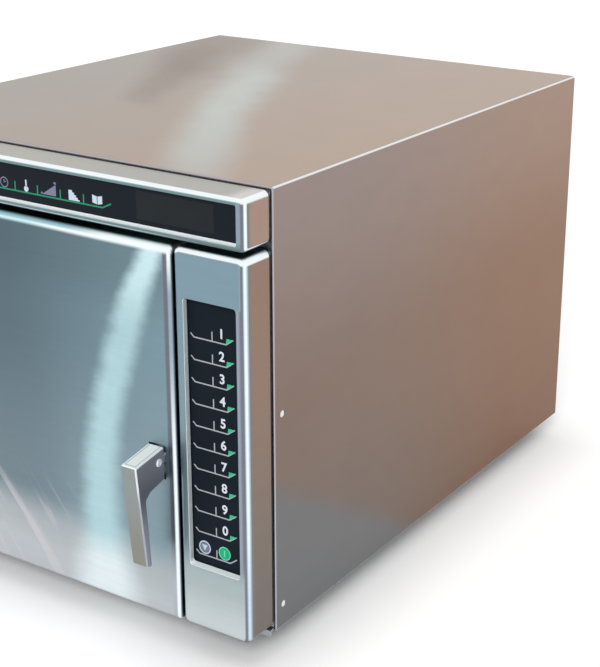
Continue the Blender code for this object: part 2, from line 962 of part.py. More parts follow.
def make_display_panel():
    """The dark glass behind the hood's window."""
    x0, x1, z0, z1 = hood_window()
    y = face_y + hood_window_depth + gap
    return block("display_panel", (x0 - glass_lap, y, z0 - glass_lap),
                 (x1 + glass_lap, y + glass_sheet, z1 + glass_lap), black_glass)


def make_display_board():
    """The circuit board behind the glass, with its ribbon connector."""
    x0, x1, z0, z1 = hood_window()
    y = face_y + hood_window_depth + glass_sheet + gap * 2
    board = block("display_board", (x0 + display_board_margin, y, z0 + board_inset),
                  (x1 - display_board_margin, y + board_sheet, z1 - board_inset), circuit)
    middle = (z0 + z1) / 2
    socket = block("display_socket",
                   (x1 - display_board_margin * 2, y, middle - connector_height / 2),
                   (x1 - display_board_margin * 2 + connector_width,
                    y + board_sheet + connector_height, middle + connector_height / 2))
    return join(board, socket)


def make_control_column():
    """The cover down the right, with a deeper recess for the keypad."""
    x0, x1, z0, z1 = keypad_window()
    rows = [ring(x0, x1, z0 + keypad_slope, z1, face_y + keypad_depth, keypad_corner),
            ring(x0, x1, z0, z1, face_y, keypad_corner)]
    rows += cover_rows(column_left, cover_right, door_bottom, door_top, column_edge,
                       column_corner, joggled_back())
    return smooth(surface("control_column", rows, front_steel, column_wall, 1))


def make_keypad_membrane():
    """The sealed keypad sheet at the bottom of the recess."""
    x0, x1, z0, z1 = keypad_window()
    y = face_y + keypad_depth + column_wall
    return block("keypad_membrane", (x0 - membrane_lap, y, z0 - membrane_lap + keypad_slope),
                 (x1 + membrane_lap, y + membrane_sheet, z1 + membrane_lap), black_film)


def make_control_board():
    """The control board behind the keypad, with two relays."""
    x0, x1, z0, z1 = keypad_window()
    y = face_y + keypad_depth + column_wall + membrane_sheet + gap
    back = y + board_sheet
    board = block("control_board", (x0, y, z0), (x1, back, z1), circuit)
    middle = (x0 + x1) / 2
    for k in range(2):
        low = z0 + relay_size * (1 + 2 * k)
        join(board, block(f"relay_{k}", (middle - relay_size / 2, y, low),
                          (middle + relay_size / 2, back + relay_height, low + relay_size)))
    return board


# Door

def make_door_skin():
    """The door's outer shell, with its return flange and the slot for the lever."""
    back = case_y - door_rear_gap
    rows = cover_rows(door_left, door_right, door_bottom, door_top, door_edge, door_corner,
                      [(0, back), (door_return, back)])
    skin = surface("door_skin", rows, front_steel, door_wall, 1, first_cap=True)
    half = handle_width / 2 + slot_margin
    cut(skin, block(
        "lever_slot",
        (pivot_x - half, face_y - overrun, pivot_z - handle_foot_drop - slot_margin),
        (pivot_x + half, face_y + door_wall + overrun, pivot_z + handle_top_rise + slot_margin)))
    for name, start, end in (
            ("upper", door_top - door_wall - overrun, door_top + overrun),
            ("lower", door_bottom - overrun, door_bottom + door_wall + overrun)):
        cut(skin, rod("bush_hole_" + name, (hinge_x, hinge_y, start),
                      (hinge_x, hinge_y, end), bush_radius + gap))
    return smooth(skin)


def cavity_ring(grow, y, radius):
    """The cavity's outline, grown outward, at a depth."""
    return ring(cavity_left - grow, cavity_right + grow, cavity_floor - grow,
                cavity_ceiling + grow, y, radius)


def make_door_inner_panel():
    """The panel that faces the cavity, with the choke channel round it."""
    margin = inner_margin
    rows = [ring(door_left + margin, door_right - margin, door_bottom + margin,
                 door_top - margin, inner_y, door_corner),
            cavity_ring(choke_outer, inner_y, choke_corner),
            cavity_ring(choke_outer, choke_floor_y, choke_corner),
            cavity_ring(choke_offset, choke_floor_y, choke_corner),
            cavity_ring(choke_offset, inner_y, choke_corner)]
    panel = surface("door_inner_panel", rows, inner_steel, inner_sheet, 1, last_cap=True)
    cut(panel, *latch_slots("panel_latch_slot", inner_y - inner_sheet - gap,
                            inner_y + overrun, 0))
    return panel


def ring_plate(name, outer, inner, corner, front, back, mat):
    """A flat frame between two outlines grown from the cavity's."""
    loops = []
    for grow, radius in ((outer, corner), (inner, corner)):
        loops.append([(p.x, p.z) for p in cavity_ring(grow, 0, radius)])
    place = Matrix.Translation((0, (front + back) / 2, 0)) @ front_view
    return outline_solid(name, loops, back - front, place, mat)


def make_choke_cover():
    """The plastic frame that closes the choke channel."""
    front = inner_y + gap
    return ring_plate("choke_cover", choke_outer + choke_lap, choke_offset - choke_lap,
                      choke_corner, front, front + choke_cover_sheet, white_plastic)


def make_door_seal():
    """The seal round the door's rear face."""
    return ring_plate("door_seal", seal_offset + seal_width, seal_offset, seal_corner,
                      inner_y + gap, case_y - gap, silicone)


def make_door_insulation():
    """The pad between the skin and the middle of the inner panel."""
    inset = choke_offset - inner_sheet - wadding_margin
    return block("door_insulation",
                 (cavity_left - inset, face_y + door_wall + gap, cavity_floor - inset),
                 (cavity_right + inset, inner_y - inner_sheet - gap, cavity_ceiling + inset),
                 wadding, radius=choke_corner, along="y")


def make_hinge(place, level, door_edge_z, into_door):
    """One hinge: the plate through the frame, its pin, and the door's bush."""
    back = hinge_back_y
    plate = folded(
        "hinge_plate_" + place,
        [(hinge_y - hinge_plate_nose, level), (back, level), (back, level + hinge_plate_flange)],
        hinge_bend, hinge_x - hinge_plate_left, hinge_x + hinge_plate_right,
        zinc_steel, hinge_sheet, -1)
    cut(plate, rod("pin_hole_" + place, (hinge_x, hinge_y, level - overrun),
                   (hinge_x, hinge_y, level + hinge_sheet + overrun),
                   hinge_pin_radius + gap))
    far_side = level + hinge_sheet if into_door < 0 else level
    pin = rod("hinge_pin_" + place, (hinge_x, hinge_y, far_side),
              (hinge_x, hinge_y, door_edge_z + into_door * hinge_pin_depth),
              hinge_pin_radius, zinc_steel)
    bore = hinge_pin_radius + gap
    profile = [(bore, bush_collar + gap), (bush_collar_radius, bush_collar + gap),
               (bush_collar_radius, gap), (bush_radius, gap), (bush_radius, -bush_depth),
               (bore, -bush_depth)]
    bush = smooth(turned("hinge_bush_" + place, profile, (hinge_x, hinge_y, door_edge_z),
                         (0, 0, -into_door), white_plastic, steps=round_sides, closed=True))
    return plate, smooth(pin), bush


def lever_point(reach, drop):
    """A point of the lever's side outline as (y, z), from the door's face and pivot."""
    return face_y - reach, pivot_z - drop


def make_handle_lever():
    """The cast lever: a hollow block at the pivot, a grip, and the tab that works the latch."""
    outline = [
        (*lever_point(handle_gap, -handle_top_rise), handle_fillet),
        (*lever_point(handle_reach, -handle_front_rise), handle_fillet),
        (*lever_point(handle_toe_reach, handle_toe_drop), handle_fillet),
        (*lever_point(handle_heel_reach, handle_heel_drop), handle_fillet),
        (*lever_point(handle_grip_top_reach, handle_grip_top_drop), handle_fillet * 2),
        (*lever_point(handle_neck_reach, handle_neck_drop), handle_fillet * 2),
        (*lever_point(handle_gap, handle_foot_drop), handle_fillet)]
    place = Matrix.Translation((pivot_x, 0, 0)) @ side_view
    lever = outline_solid("handle_lever", [fillet(outline, handle_fillet, steps=2)],
                          handle_width, place, handle_steel, handle_edge)
    hollow = handle_hollow_half
    cut(lever, block(
        "lever_hollow",
        (pivot_x - hollow, face_y - handle_hollow_reach, pivot_z - handle_hollow_drop),
        (pivot_x + hollow, face_y + overrun, pivot_z + handle_hollow_rise)))
    join(lever, block(
        "lever_tab",
        (pivot_x + hollow, face_y - pivot_reach, tab_bottom),
        (pivot_x + handle_width / 2, tab_end_y, tab_bottom + handle_tab_height)))
    cut(lever, rod("lever_bore", (pivot_x - handle_width, pivot_y, pivot_z),
                   (pivot_x + handle_width, pivot_y, pivot_z), pivot_radius + gap,
                   sides=hole_sides))
    return smooth(lever)


def make_handle_bracket():
    """The bracket behind the skin, whose tongue reaches into the lever's hollow block."""
    skin_y = face_y + door_wall + gap
    rise = handle_top_rise + slot_margin * 2
    drop = handle_foot_drop + slot_margin * 2
    hat_y = skin_y + bracket_hat
    thick = bracket_sheet
    outline = [
        (skin_y, pivot_z + rise + bracket_ear), (skin_y, pivot_z + rise),
        (hat_y, pivot_z + rise), (hat_y, pivot_z - drop), (skin_y, pivot_z - drop),
        (skin_y, pivot_z - drop - bracket_ear), (skin_y + thick, pivot_z - drop - bracket_ear),
        (skin_y + thick, pivot_z - drop - thick), (hat_y + thick, pivot_z - drop - thick),
        (hat_y + thick, pivot_z + rise + thick), (skin_y + thick, pivot_z + rise + thick),
        (skin_y + thick, pivot_z + rise + bracket_ear)]
    middle = pivot_x + (bracket_right - bracket_left) / 2
    place = Matrix.Translation((middle, 0, 0)) @ side_view
    bracket = outline_solid("handle_bracket", [outline], bracket_left + bracket_right,
                            place, zinc_steel)
    join(bracket, block(
        "bracket_tongue",
        (pivot_x - bracket_half, face_y - bracket_reach, pivot_z - bracket_drop),
        (pivot_x + bracket_half, hat_y + thick / 2, pivot_z + bracket_rise)))
    cut(bracket, rod("bracket_bore", (pivot_x - handle_width, pivot_y, pivot_z),
                     (pivot_x + handle_width, pivot_y, pivot_z), pivot_radius + gap,
                     sides=hole_sides))
    return bracket


def make_pivot_screw():
    """The screw that the lever turns on, with a domed head at each side."""
    half = handle_width / 2 + gap
    head = pivot_head
    crown = pivot_head_radius / 2
    profile = [(0, half + head), (crown, half + head), (pivot_head_radius, half + head / 2),
               (pivot_head_radius, half), (pivot_radius, half), (pivot_radius, -half),
               (pivot_head_radius, -half), (pivot_head_radius, -half - head / 2),
               (crown, -half - head), (0, -half - head)]
    return smooth(turned("handle_pivot_screw", profile, (pivot_x, pivot_y, pivot_z),
                         (1, 0, 0), inner_steel, steps=hole_sides))


def make_latch_bar():
    """The sliding bar inside the door: two hooks, the ear that the lever pushes, a foot."""
    ear_top = tab_bottom - gap
    ear_y = tab_end_y - latch_ear_lap
    foot_y = spring_y - spring_radius
    outline = [(latch_front_y, latch_top), (latch_front_y, ear_top), (ear_y, ear_top),
               (ear_y, ear_top - latch_ear), (latch_front_y, ear_top - latch_ear),
               (latch_front_y, latch_foot + latch_ear), (foot_y, latch_foot + latch_ear),
               (foot_y, latch_foot), (latch_rear_y, latch_foot)]
    tip_y = case_y + latch_hook_reach
    for upper in reversed(hook_uppers):
        lower = upper - latch_hook_height
        nose_y = tip_y - latch_nose_length
        outline += [(latch_rear_y, lower), (tip_y, lower),
                    (tip_y, upper + latch_nose_rise / 3), (nose_y, upper + latch_nose_rise),
                    (nose_y, upper), (latch_rear_y, upper)]
    outline.append((latch_rear_y, latch_top))
    place = Matrix.Translation(((latch_left + latch_right) / 2, 0, 0)) @ side_view
    return outline_solid("latch_bar", [outline], latch_sheet, place, zinc_steel)


def make_latch_spring():
    """The spring under the latch bar, standing on the door's lower wall."""
    low = door_bottom + door_wall + gap + spring_wire
    high = latch_foot - gap - spring_wire
    total = spring_turns * spring_points
    points = []
    for k in range(total + 1):
        turn = 2 * math.pi * k / spring_points
        points.append((spring_x + spring_radius * math.cos(turn),
                       spring_y + spring_radius * math.sin(turn),
                       low + (high - low) * k / total))
    return tube("latch_spring", points, spring_wire, zinc_steel, detail=1)


# Cavity

def make_cavity_liner():
    """The oven cavity: front flange, walls, and a rear wall open to the fan."""
    rows = [cavity_ring(cavity_flange, liner_y, opening_radius),
            cavity_ring(0, liner_y, opening_radius),
            cavity_ring(0, liner_back_y, opening_radius),
            ring(rear_left, rear_right, rear_bottom, rear_top, liner_back_y, rear_radius)]
    liner = surface("cavity_liner", rows, inner_steel, cavity_sheet, -1)
    cut(liner, rod("feed_hole", (cavity_x, cavity_mid_y, cavity_ceiling - overrun),
                   (cavity_x, cavity_mid_y, cavity_ceiling + cavity_sheet + overrun),
                   stirrer_feed_radius))
    return liner


def make_convection_chamber():
    """The pan behind the cavity that holds the fan and the heater."""
    flange = chamber_flange
    rows = [ring(rear_left - flange, rear_right + flange, rear_bottom - flange,
                 rear_top + flange, chamber_y, rear_radius),
            ring(rear_left, rear_right, rear_bottom, rear_top, chamber_y, rear_radius),
            ring(rear_left, rear_right, rear_bottom, rear_top, chamber_back_y, rear_radius)]
    pan = surface("convection_chamber", rows, inner_steel, chamber_sheet, -1, last_cap=True)
    back = chamber_back_y
    cut(pan, rod("shaft_hole", (cavity_x, back - overrun, cavity_z),
                 (cavity_x, back + chamber_sheet + overrun, cavity_z),
                 fan_shaft_radius + gap * 2))
    for x, z in heater_tails():
        cut(pan, rod("tail_hole", (x, back - overrun, z), (x, back + chamber_sheet + overrun, z),
                     heater_wire + gap))
    return pan


def make_fan_cover():
    """The perforated cover in front of the fan."""
    lap = fan_cover_lap
    front = liner_back_y - gap - fan_cover_sheet
    loops = [[(p.x, p.z) for p in ring(rear_left - lap, rear_right + lap, rear_bottom - lap,
                                       rear_top + lap, 0, rear_radius)]]
    loops.append(circle(cavity_x, cavity_z, fan_cover_hole))
    for number in range(1, fan_cover_rings + 1):
        holes = fan_cover_first_ring * number
        for k in range(holes):
            turn = 2 * math.pi * k / holes
            loops.append(circle(cavity_x + fan_cover_pitch * number * math.cos(turn),
                                cavity_z + fan_cover_pitch * number * math.sin(turn),
                                fan_cover_hole))
    for x in (rear_left + fan_cover_slot_inset, rear_right - fan_cover_slot_inset):
        half = fan_cover_slot_width / 2
        tall = (rear_top - rear_bottom) / 2 - fan_cover_slot_end
        loops.append([(p.x, p.z) for p in ring(x - half, x + half, cavity_z - tall,
                                               cavity_z + tall, 0, half)])
    place = Matrix.Translation((0, front + fan_cover_sheet / 2, 0)) @ front_view
    return outline_solid("fan_cover", loops, fan_cover_sheet, place, inner_steel)


def make_rack_guide(place, wall_x, inward):
    """A side guide whose folded rails carry the rack at either level."""
    outline = [(wall_x, cavity_floor + rack_level / 2)]
    for k in range(rack_levels):
        ledge = cavity_floor + rack_level + rack_pitch * k
        outline += [(wall_x, ledge - rail_height), (wall_x + inward * rail_reach, ledge),
                    (wall_x, ledge)]
    outline.append((wall_x, cavity_floor + rack_level + rack_pitch * rack_levels))
    flat = fillet(outline, rail_bend, closed=False, steps=2)
    front, back = liner_y + rail_end, liner_back_y - rail_end
    rows = [[Vector((p.x, y, p.y)) for p in flat] for y in (front, back)]
    return surface("rack_guide_" + place, rows, inner_steel, rail_sheet, -inward, closed=False)


def make_oven_rack():
    """The wire rack on the lower rails: a rim with cross wires let into it."""
    z = cavity_floor + rack_level + rail_sheet + rack_rim_radius + gap
    x0 = cavity_left + rack_side_play + rail_sheet + rack_rim_radius
    x1 = cavity_right - rack_side_play - rail_sheet - rack_rim_radius
    y0 = liner_y + rack_end_play
    y1 = liner_back_y - rack_end_play
    wire_z = z + (rack_rim_radius - rack_wire_radius) / 2
    rim = bmesh.new()
    rod_into(rim, (x0, y0, z), (x0, y1, z), rack_rim_radius, hole_sides)
    rack = object_from(rim, "oven_rack", inner_steel)
    join(rack, rod("rim_right", (x1, y0, z), (x1, y1, z), rack_rim_radius, sides=hole_sides))
    for k in range(rack_wires):
        y = y0 + rack_rim_radius * 2 + (y1 - y0 - rack_rim_radius * 4) * k / (rack_wires - 1)
        join(rack, rod(f"rack_wire_{k}", (x0, y, wire_z), (x1, y, wire_z), rack_wire_radius,
                       sides=small_sides))
    return smooth(rack)


def make_cavity_insulation():
    """The blanket under the cavity and up both its sides."""
    skin = cavity_sheet + gap
    low, high = cavity_floor - skin, cavity_ceiling - wadding_end
    left, right = cavity_left - skin, cavity_right + skin
    thick = wadding_sheet
    outline = [(left - thick, high), (left - thick, low - thick), (right + thick, low - thick),
               (right + thick, high), (right, high), (right, low), (left, low), (left, high)]
    front = liner_y + cavity_sheet + gap
    back = liner_back_y - wadding_end
    place = Matrix.Translation((0, (front + back) / 2, 0)) @ front_view
    return outline_solid("cavity_insulation", [outline], back - front, place, wadding)


def make_cavity_support():
    """The channel on the base that carries the rear of the cavity."""
    start = liner_back_y - support_setback
    high = cavity_floor - cavity_sheet - gap * 2 - wadding_sheet
    low = base_top + gap
    outline = [(start, low), (start, high), (start + support_length, high),
               (start + support_length, low)]
    return folded("cavity_support", outline, support_bend, cavity_left + support_inset,
                  cavity_right - support_inset, zinc_steel, support_sheet, 1)


# Stirrer and microwave feed

def stirrer_cover_bottom():
    """The height of the underside of the cover beneath the stirrer."""
    return cavity_ceiling - gap - stirrer_cover_depth


def make_stirrer_cover():
    """The tray-shaped ceramic cover under the ceiling that hides the stirrer."""
    low = stirrer_cover_bottom()
    slope = stirrer_cover_slope
    box = (cavity_x - stirrer_half, cavity_x + stirrer_half,
           cavity_mid_y - stirrer_half, cavity_mid_y + stirrer_half)
    inner = (box[0] + slope, box[1] - slope, box[2] + slope, box[3] - slope)
    rows = [level_ring(*box, cavity_ceiling - gap, stirrer_cover_corner),
            level_ring(*box, cavity_ceiling - gap - stirrer_cover_rim, stirrer_cover_corner),
            level_ring(*inner, low, stirrer_cover_corner)]
    return surface("stirrer_cover", rows, ceramic, stirrer_cover_sheet, 1, last_cap=True)


def make_mode_stirrer():
    """Three tilted blades on a hub, with the shaft up to the motor."""
    top = cavity_ceiling - stirrer_drop
    hub = rod("mode_stirrer", (cavity_x, cavity_mid_y, top - stirrer_hub_height),
              (cavity_x, cavity_mid_y, top), stirrer_hub_radius, aluminium)
    mid = top - stirrer_hub_height / 2
    for k in range(stirrer_blades):
        blade = block(f"stirrer_blade_{k}",
                      (stirrer_hub_radius / 2, -stirrer_blade_width / 2,
                       -stirrer_blade_sheet / 2),
                      (stirrer_radius, stirrer_blade_width / 2, stirrer_blade_sheet / 2))
        tilt = Matrix.Rotation(math.pi / 2 * stirrer_tilt_share, 4, "X")
        turn = Matrix.Rotation(2 * math.pi * k / stirrer_blades, 4, "Z")
        blade.matrix_world = Matrix.Translation((cavity_x, cavity_mid_y, mid)) @ turn @ tilt
        join(hub, blade)
    join(hub, rod("stirrer_shaft", (cavity_x, cavity_mid_y, top - stirrer_hub_height / 4),
                  (cavity_x, cavity_mid_y, guide_top + stirrer_motor_height / 2),
                  stirrer_shaft_radius, sides=hole_sides))
    return hub


def make_waveguide():
    """The box-section guide from the magnetron to the middle of the ceiling."""
    start = cavity_x - waveguide_left
    end = right_x - case_sheet - compartment_margin
    half = waveguide_width / 2
    wall = waveguide_sheet
    guide = block("waveguide", (start, cavity_mid_y - half, guide_bottom),
                  (end, cavity_mid_y + half, guide_top), aluminium)
    cut(guide, block("guide_hollow", (start + wall, cavity_mid_y - half + wall,
                                      guide_bottom + wall),
                     (end - wall, cavity_mid_y + half - wall, guide_top - wall)))
    cut(guide, rod("guide_feed_hole", (cavity_x, cavity_mid_y, guide_bottom - overrun),
                   (cavity_x, cavity_mid_y, guide_bottom + wall + overrun),
                   stirrer_feed_radius))
    cut(guide, rod("guide_shaft_hole", (cavity_x, cavity_mid_y, guide_top - wall - overrun),
                   (cavity_x, cavity_mid_y, guide_top + overrun),
                   stirrer_shaft_radius + gap, sides=hole_sides))
    cut(guide, rod("guide_antenna_hole",
                   (compartment_x, cavity_mid_y, guide_bottom - overrun),
                   (compartment_x, cavity_mid_y, guide_bottom + wall + overrun),
                   magnetron_antenna_radius + gap))
    return guide


def make_stirrer_motor():
    """The flat gear motor on top of the guide."""
    low = guide_top + gap
    profile = [(stirrer_shaft_radius + gap, stirrer_motor_height),
               (stirrer_motor_radius, stirrer_motor_height), (stirrer_motor_radius, 0),
               (stirrer_shaft_radius + gap, 0)]
    return smooth(turned("stirrer_motor", profile, (cavity_x, cavity_mid_y, low), (0, 0, 1),
                         zinc_steel, steps=round_sides, closed=True))


def make_magnetron():
    """The magnetron under the guide: mounting plate, finned body and antenna."""
    x, y = compartment_x, cavity_mid_y
    top = guide_bottom - gap
    half_x, half_y = magnetron_width / 2, magnetron_length / 2
    low = top - magnetron_height
    body = block("magnetron", (x - half_x, y - half_y, top - magnetron_plate),
                 (x + half_x, y + half_y, top), aluminium)
    join(body, rod("magnetron_core", (x, y, low), (x, y, top - magnetron_plate / 2),
                   magnetron_core_radius))
    pitch = (magnetron_height - magnetron_plate) / (magnetron_fins + 1)
    inset = magnetron_margin
    for k in range(magnetron_fins):
        z = low + pitch * (k + 1)
        join(body, block(f"magnetron_fin_{k}", (x - half_x + inset, y - half_y + inset, z),
                         (x + half_x - inset, y + half_y - inset, z + magnetron_fin_sheet)))
    join(body, rod("magnetron_antenna", (x, y, top - magnetron_plate / 2),
                   (x, y, top + magnetron_antenna), magnetron_antenna_radius,
                   sides=hole_sides))
    return body


def make_transformer():
    """The high-voltage transformer: laminated core, two windings and mounting feet."""
    x = compartment_x
    y0 = base_front_y + transformer_setback
    y1 = y0 + transformer_length
    low = base_top + gap
    high = low + transformer_height
    half, stack, coil = transformer_width / 2, transformer_stack / 2, transformer_coil / 2
    core = block("transformer", (x - stack, y0, low), (x + stack, y1, high), lacquer)
    third = transformer_length / 3
    join(core, block("transformer_windings",
                     (x - coil, y0 + third / 2, low + transformer_foot * 2),
                     (x + coil, y1 - third / 2, high - transformer_foot * 2),
                     radius=transformer_foot, along="y"))
    join(core, block("transformer_feet", (x - half, y0 + third, low),
                     (x + half, y1 - third, low + transformer_foot)))
    return core


def make_capacitor():
    """The oval high-voltage capacitor with its two terminals."""
    x = compartment_x
    y0 = base_front_y + capacitor_setback
    low = base_top + gap
    high = low + capacitor_height
    body = block("capacitor", (x - capacitor_width / 2, y0, low),
                 (x + capacitor_width / 2, y0 + capacitor_thickness, high), aluminium,
                 radius=capacitor_thickness / 2 - merge_distance, along="z")
    for side in (-1, 1):
        tx = x + side * terminal_offset
        ty = y0 + capacitor_thickness / 2
        join(body, rod("terminal", (tx, ty, high - terminal_rise),
                       (tx, ty, high + terminal_rise), terminal_radius, sides=small_sides))
    return smooth(body)


# Fans and heater

def heater_tails():
    """Where the heater's two ends pass through the chamber's back, as (x, z)."""
    return ((cavity_x - heater_radius, cavity_z),
            (cavity_x + heater_radius + heater_lead, cavity_z))


def make_convection_heater():
    """A tubular element wound round the fan, with both ends led out at the back."""
    start_y = fan_y + heater_wire
    half_turns = heater_turns * 2 - 1
    total = heater_points * half_turns // 2
    points = []
    end_y = chamber_back_y + heater_tail
    for k in range(total + 1):
        turn = math.pi * half_turns * k / total
        points.append((cavity_x + heater_radius * math.cos(turn),
                       start_y + heater_pitch * k * half_turns / 2 / total,
                       cavity_z + heater_radius * math.sin(turn)))
    start_x = cavity_x + heater_radius + heater_lead
    points = [(start_x, end_y, cavity_z), (start_x, start_y + heater_lead_setback, cavity_z),
              (start_x - heater_lead_bend, start_y, cavity_z)] + points
    last_x = cavity_x - heater_radius
    points.append((last_x, end_y, cavity_z))
    return tube("convection_heater", points, heater_wire, element_steel, detail=1)


def make_convection_fan():
    """The centrifugal wheel: back disc, hub and swept blades."""
    disc_y = fan_y + fan_blade_height
    disc = rod("convection_fan", (cavity_x, disc_y, cavity_z),
               (cavity_x, disc_y + fan_disc, cavity_z), fan_radius, inner_steel,
               sides=turn_steps)
    join(disc, rod("fan_hub", (cavity_x, disc_y - fan_hub_length, cavity_z),
                   (cavity_x, disc_y + fan_disc / 2, cavity_z), fan_hub_radius))
    blades = bmesh.new()
    for number in range(fan_blades):
        add_blade(blades, 2 * math.pi * number / fan_blades, disc_y)
    blade_set = object_from(blades, "fan_blade_set")
    solid = blade_set.modifiers.new("Sheet", "SOLIDIFY")
    solid.thickness = fan_blade_sheet
    solid.offset = 0
    join(disc, blade_set)
    cut(disc, rod("fan_bore", (cavity_x, fan_y - overrun, cavity_z),
                  (cavity_x, disc_y + fan_disc + overrun, cavity_z),
                  fan_shaft_radius + gap, sides=hole_sides))
    return disc


def add_blade(bm, base, disc_y):
    """Adds one blade's curved middle surface, swept back from root to tip."""
    rows = []
    for k in range(fan_blade_steps + 1):
        share = k / fan_blade_steps
        radius = fan_blade_inner + (fan_radius - fan_blade_sheet - fan_blade_inner) * share
        turn = base + fan_blade_sweep_share * share * share
        x = cavity_x + radius * math.cos(turn)
        z = cavity_z + radius * math.sin(turn)
        rows.append([bm.verts.new((x, fan_y, z)),
                     bm.verts.new((x, disc_y + fan_disc / 2, z))])
    for a, b in zip(rows, rows[1:]):
        bm.faces.new((a[0], b[0], b[1], a[1]))


def make_convection_shaft():
    """The shaft from the motor through the chamber's back to the wheel."""
    start = fan_y + fan_blade_height - fan_hub_length
    end = chamber_back_y + chamber_sheet + fan_motor_standoff + fan_motor_length / 2
    return smooth(rod("convection_shaft", (cavity_x, start, cavity_z),
                      (cavity_x, end, cavity_z), fan_shaft_radius, inner_steel,
                      sides=hole_sides))


def make_convection_motor():
    """The motor behind the chamber, standing off on four legs."""
    plate_y = chamber_back_y + chamber_sheet + gap
    start = plate_y + fan_motor_standoff
    motor = block("convection_motor",
                  (cavity_x - fan_motor_radius, start, cavity_z - fan_motor_radius),
                  (cavity_x + fan_motor_radius, start + fan_motor_length,
                   cavity_z + fan_motor_radius), lacquer, radius=fan_motor_bevel, along="y")
    reach = fan_motor_radius - fan_motor_leg
    for sx in (-1, 1):
        for sz in (-1, 1):
            x, z = cavity_x + sx * reach, cavity_z + sz * reach
            join(motor, rod("motor_leg", (x, plate_y, z), (x, start + fan_motor_leg, z),
                            fan_motor_leg / 2, sides=small_sides))
    cut(motor, rod("motor_bore", (cavity_x, start - overrun, cavity_z),
                   (cavity_x, start + fan_motor_length / 2 + overrun, cavity_z),
                   fan_shaft_radius + gap, sides=hole_sides))
    return motor


def make_cooling_fan_housing():
    """The square fan frame against the back panel, with arms to its motor boss."""
    half = cooler_frame / 2
    back = cooler_back_y
    front = back - cooler_depth
    frame = block("cooling_fan_housing", (cooler_x - half, front, cooler_z - half),
                  (cooler_x + half, back, cooler_z + half), black_plastic)
    cut(frame, rod("cooler_bore", (cooler_x, front - overrun, cooler_z),
                   (cooler_x, back + overrun, cooler_z), cooler_bore_radius,
                   sides=turn_steps))
    arm = cooler_arm / 2
    for k, (dx, dz) in enumerate(((1, 0), (0, 1))):
        long = cooler_bore_radius + overrun
        reach_x, reach_z = long * dx + arm * dz, long * dz + arm * dx
        join(frame, block(f"cooler_arm_{k}", (cooler_x - reach_x, back - arm, cooler_z - reach_z),
                          (cooler_x + reach_x, back, cooler_z + reach_z)))
    join(frame, rod("cooler_boss", (cooler_x, back - arm * 2, cooler_z),
                    (cooler_x, back, cooler_z), cooler_hub_radius))
    return frame


def make_cooling_fan():
    """The axial rotor: a hub and pitched blades."""
    back = cooler_back_y - cooler_arm - cooler_hub_gap
    front = cooler_back_y - cooler_depth + cooler_arm / 2
    rotor = rod("cooling_fan", (cooler_x, front, cooler_z), (cooler_x, back, cooler_z),
                cooler_hub_radius, black_plastic)
    blades = bmesh.new()
    pitch = math.pi * 2 * cooler_blade_turn_share
    inner = cooler_hub_radius - cooler_blade_sheet
    outer = cooler_bore_radius - cooler_tip_gap
    margin = cooler_blade_sheet
    for number in range(cooler_blades):
        base = 2 * math.pi * number / cooler_blades
        rows = []
        for k in range(fan_blade_steps):
            share = k / (fan_blade_steps - 1)
            turn = base + pitch * (share - 0.5)
            y = front + margin + (back - front - margin * 2) * share
            rows.append([blades.verts.new((cooler_x + r * math.cos(turn), y,
                                           cooler_z + r * math.sin(turn)))
                         for r in (inner, outer)])
        for a, b in zip(rows, rows[1:]):
            blades.faces.new((a[0], b[0], b[1], a[1]))
    blade_set = object_from(blades, "cooler_blade_set")
    solid = blade_set.modifiers.new("Sheet", "SOLIDIFY")
    solid.thickness = cooler_blade_sheet
    solid.offset = 0
    return join(rotor, blade_set)


def make_air_filter():
    """The framed filter over the intake slots."""
    first = cavity_x - intake_pitch * (intake_columns - 1) / 2
    last = first + intake_pitch * (intake_columns - 1)
    reach = intake_width / 2 + filter_margin + filter_border
    y0 = base_front_y + intake_setback - filter_margin - filter_border
    y1 = base_front_y + intake_setback + intake_length + filter_margin + filter_border
    low = base_top + gap
    frame = block("air_filter", (first - reach, y0, low), (last + reach, y1,
                                                         low + filter_thickness), filter_mesh)
    border = filter_border
    cut(frame, block("filter_recess",
                     (first - reach + border, y0 + border, low + filter_thickness / 2),
                     (last + reach - border, y1 - border, low + filter_thickness + overrun)))
    return frame


def make_interlock_switches():
    """A switch behind the frame beside each latch hook."""
    made = []
    x0 = latch_right + switch_offset
    y0 = frame_back_y + gap
    for place, hook_z in zip(("upper", "lower"), hook_uppers):
        middle = hook_z - latch_hook_height / 2
        body = block("interlock_switch_" + place, (x0, y0, middle - switch_height / 2),
                     (x0 + switch_width, y0 + switch_depth, middle + switch_height / 2),
                     black_plastic)
        join(body, rod("plunger_" + place,
                       (x0 - switch_plunger, y0 + switch_depth / 2, middle),
                       (x0 + switch_plunger, y0 + switch_depth / 2, middle),
                       switch_plunger, sides=small_sides))
        made.append(body)
    return made


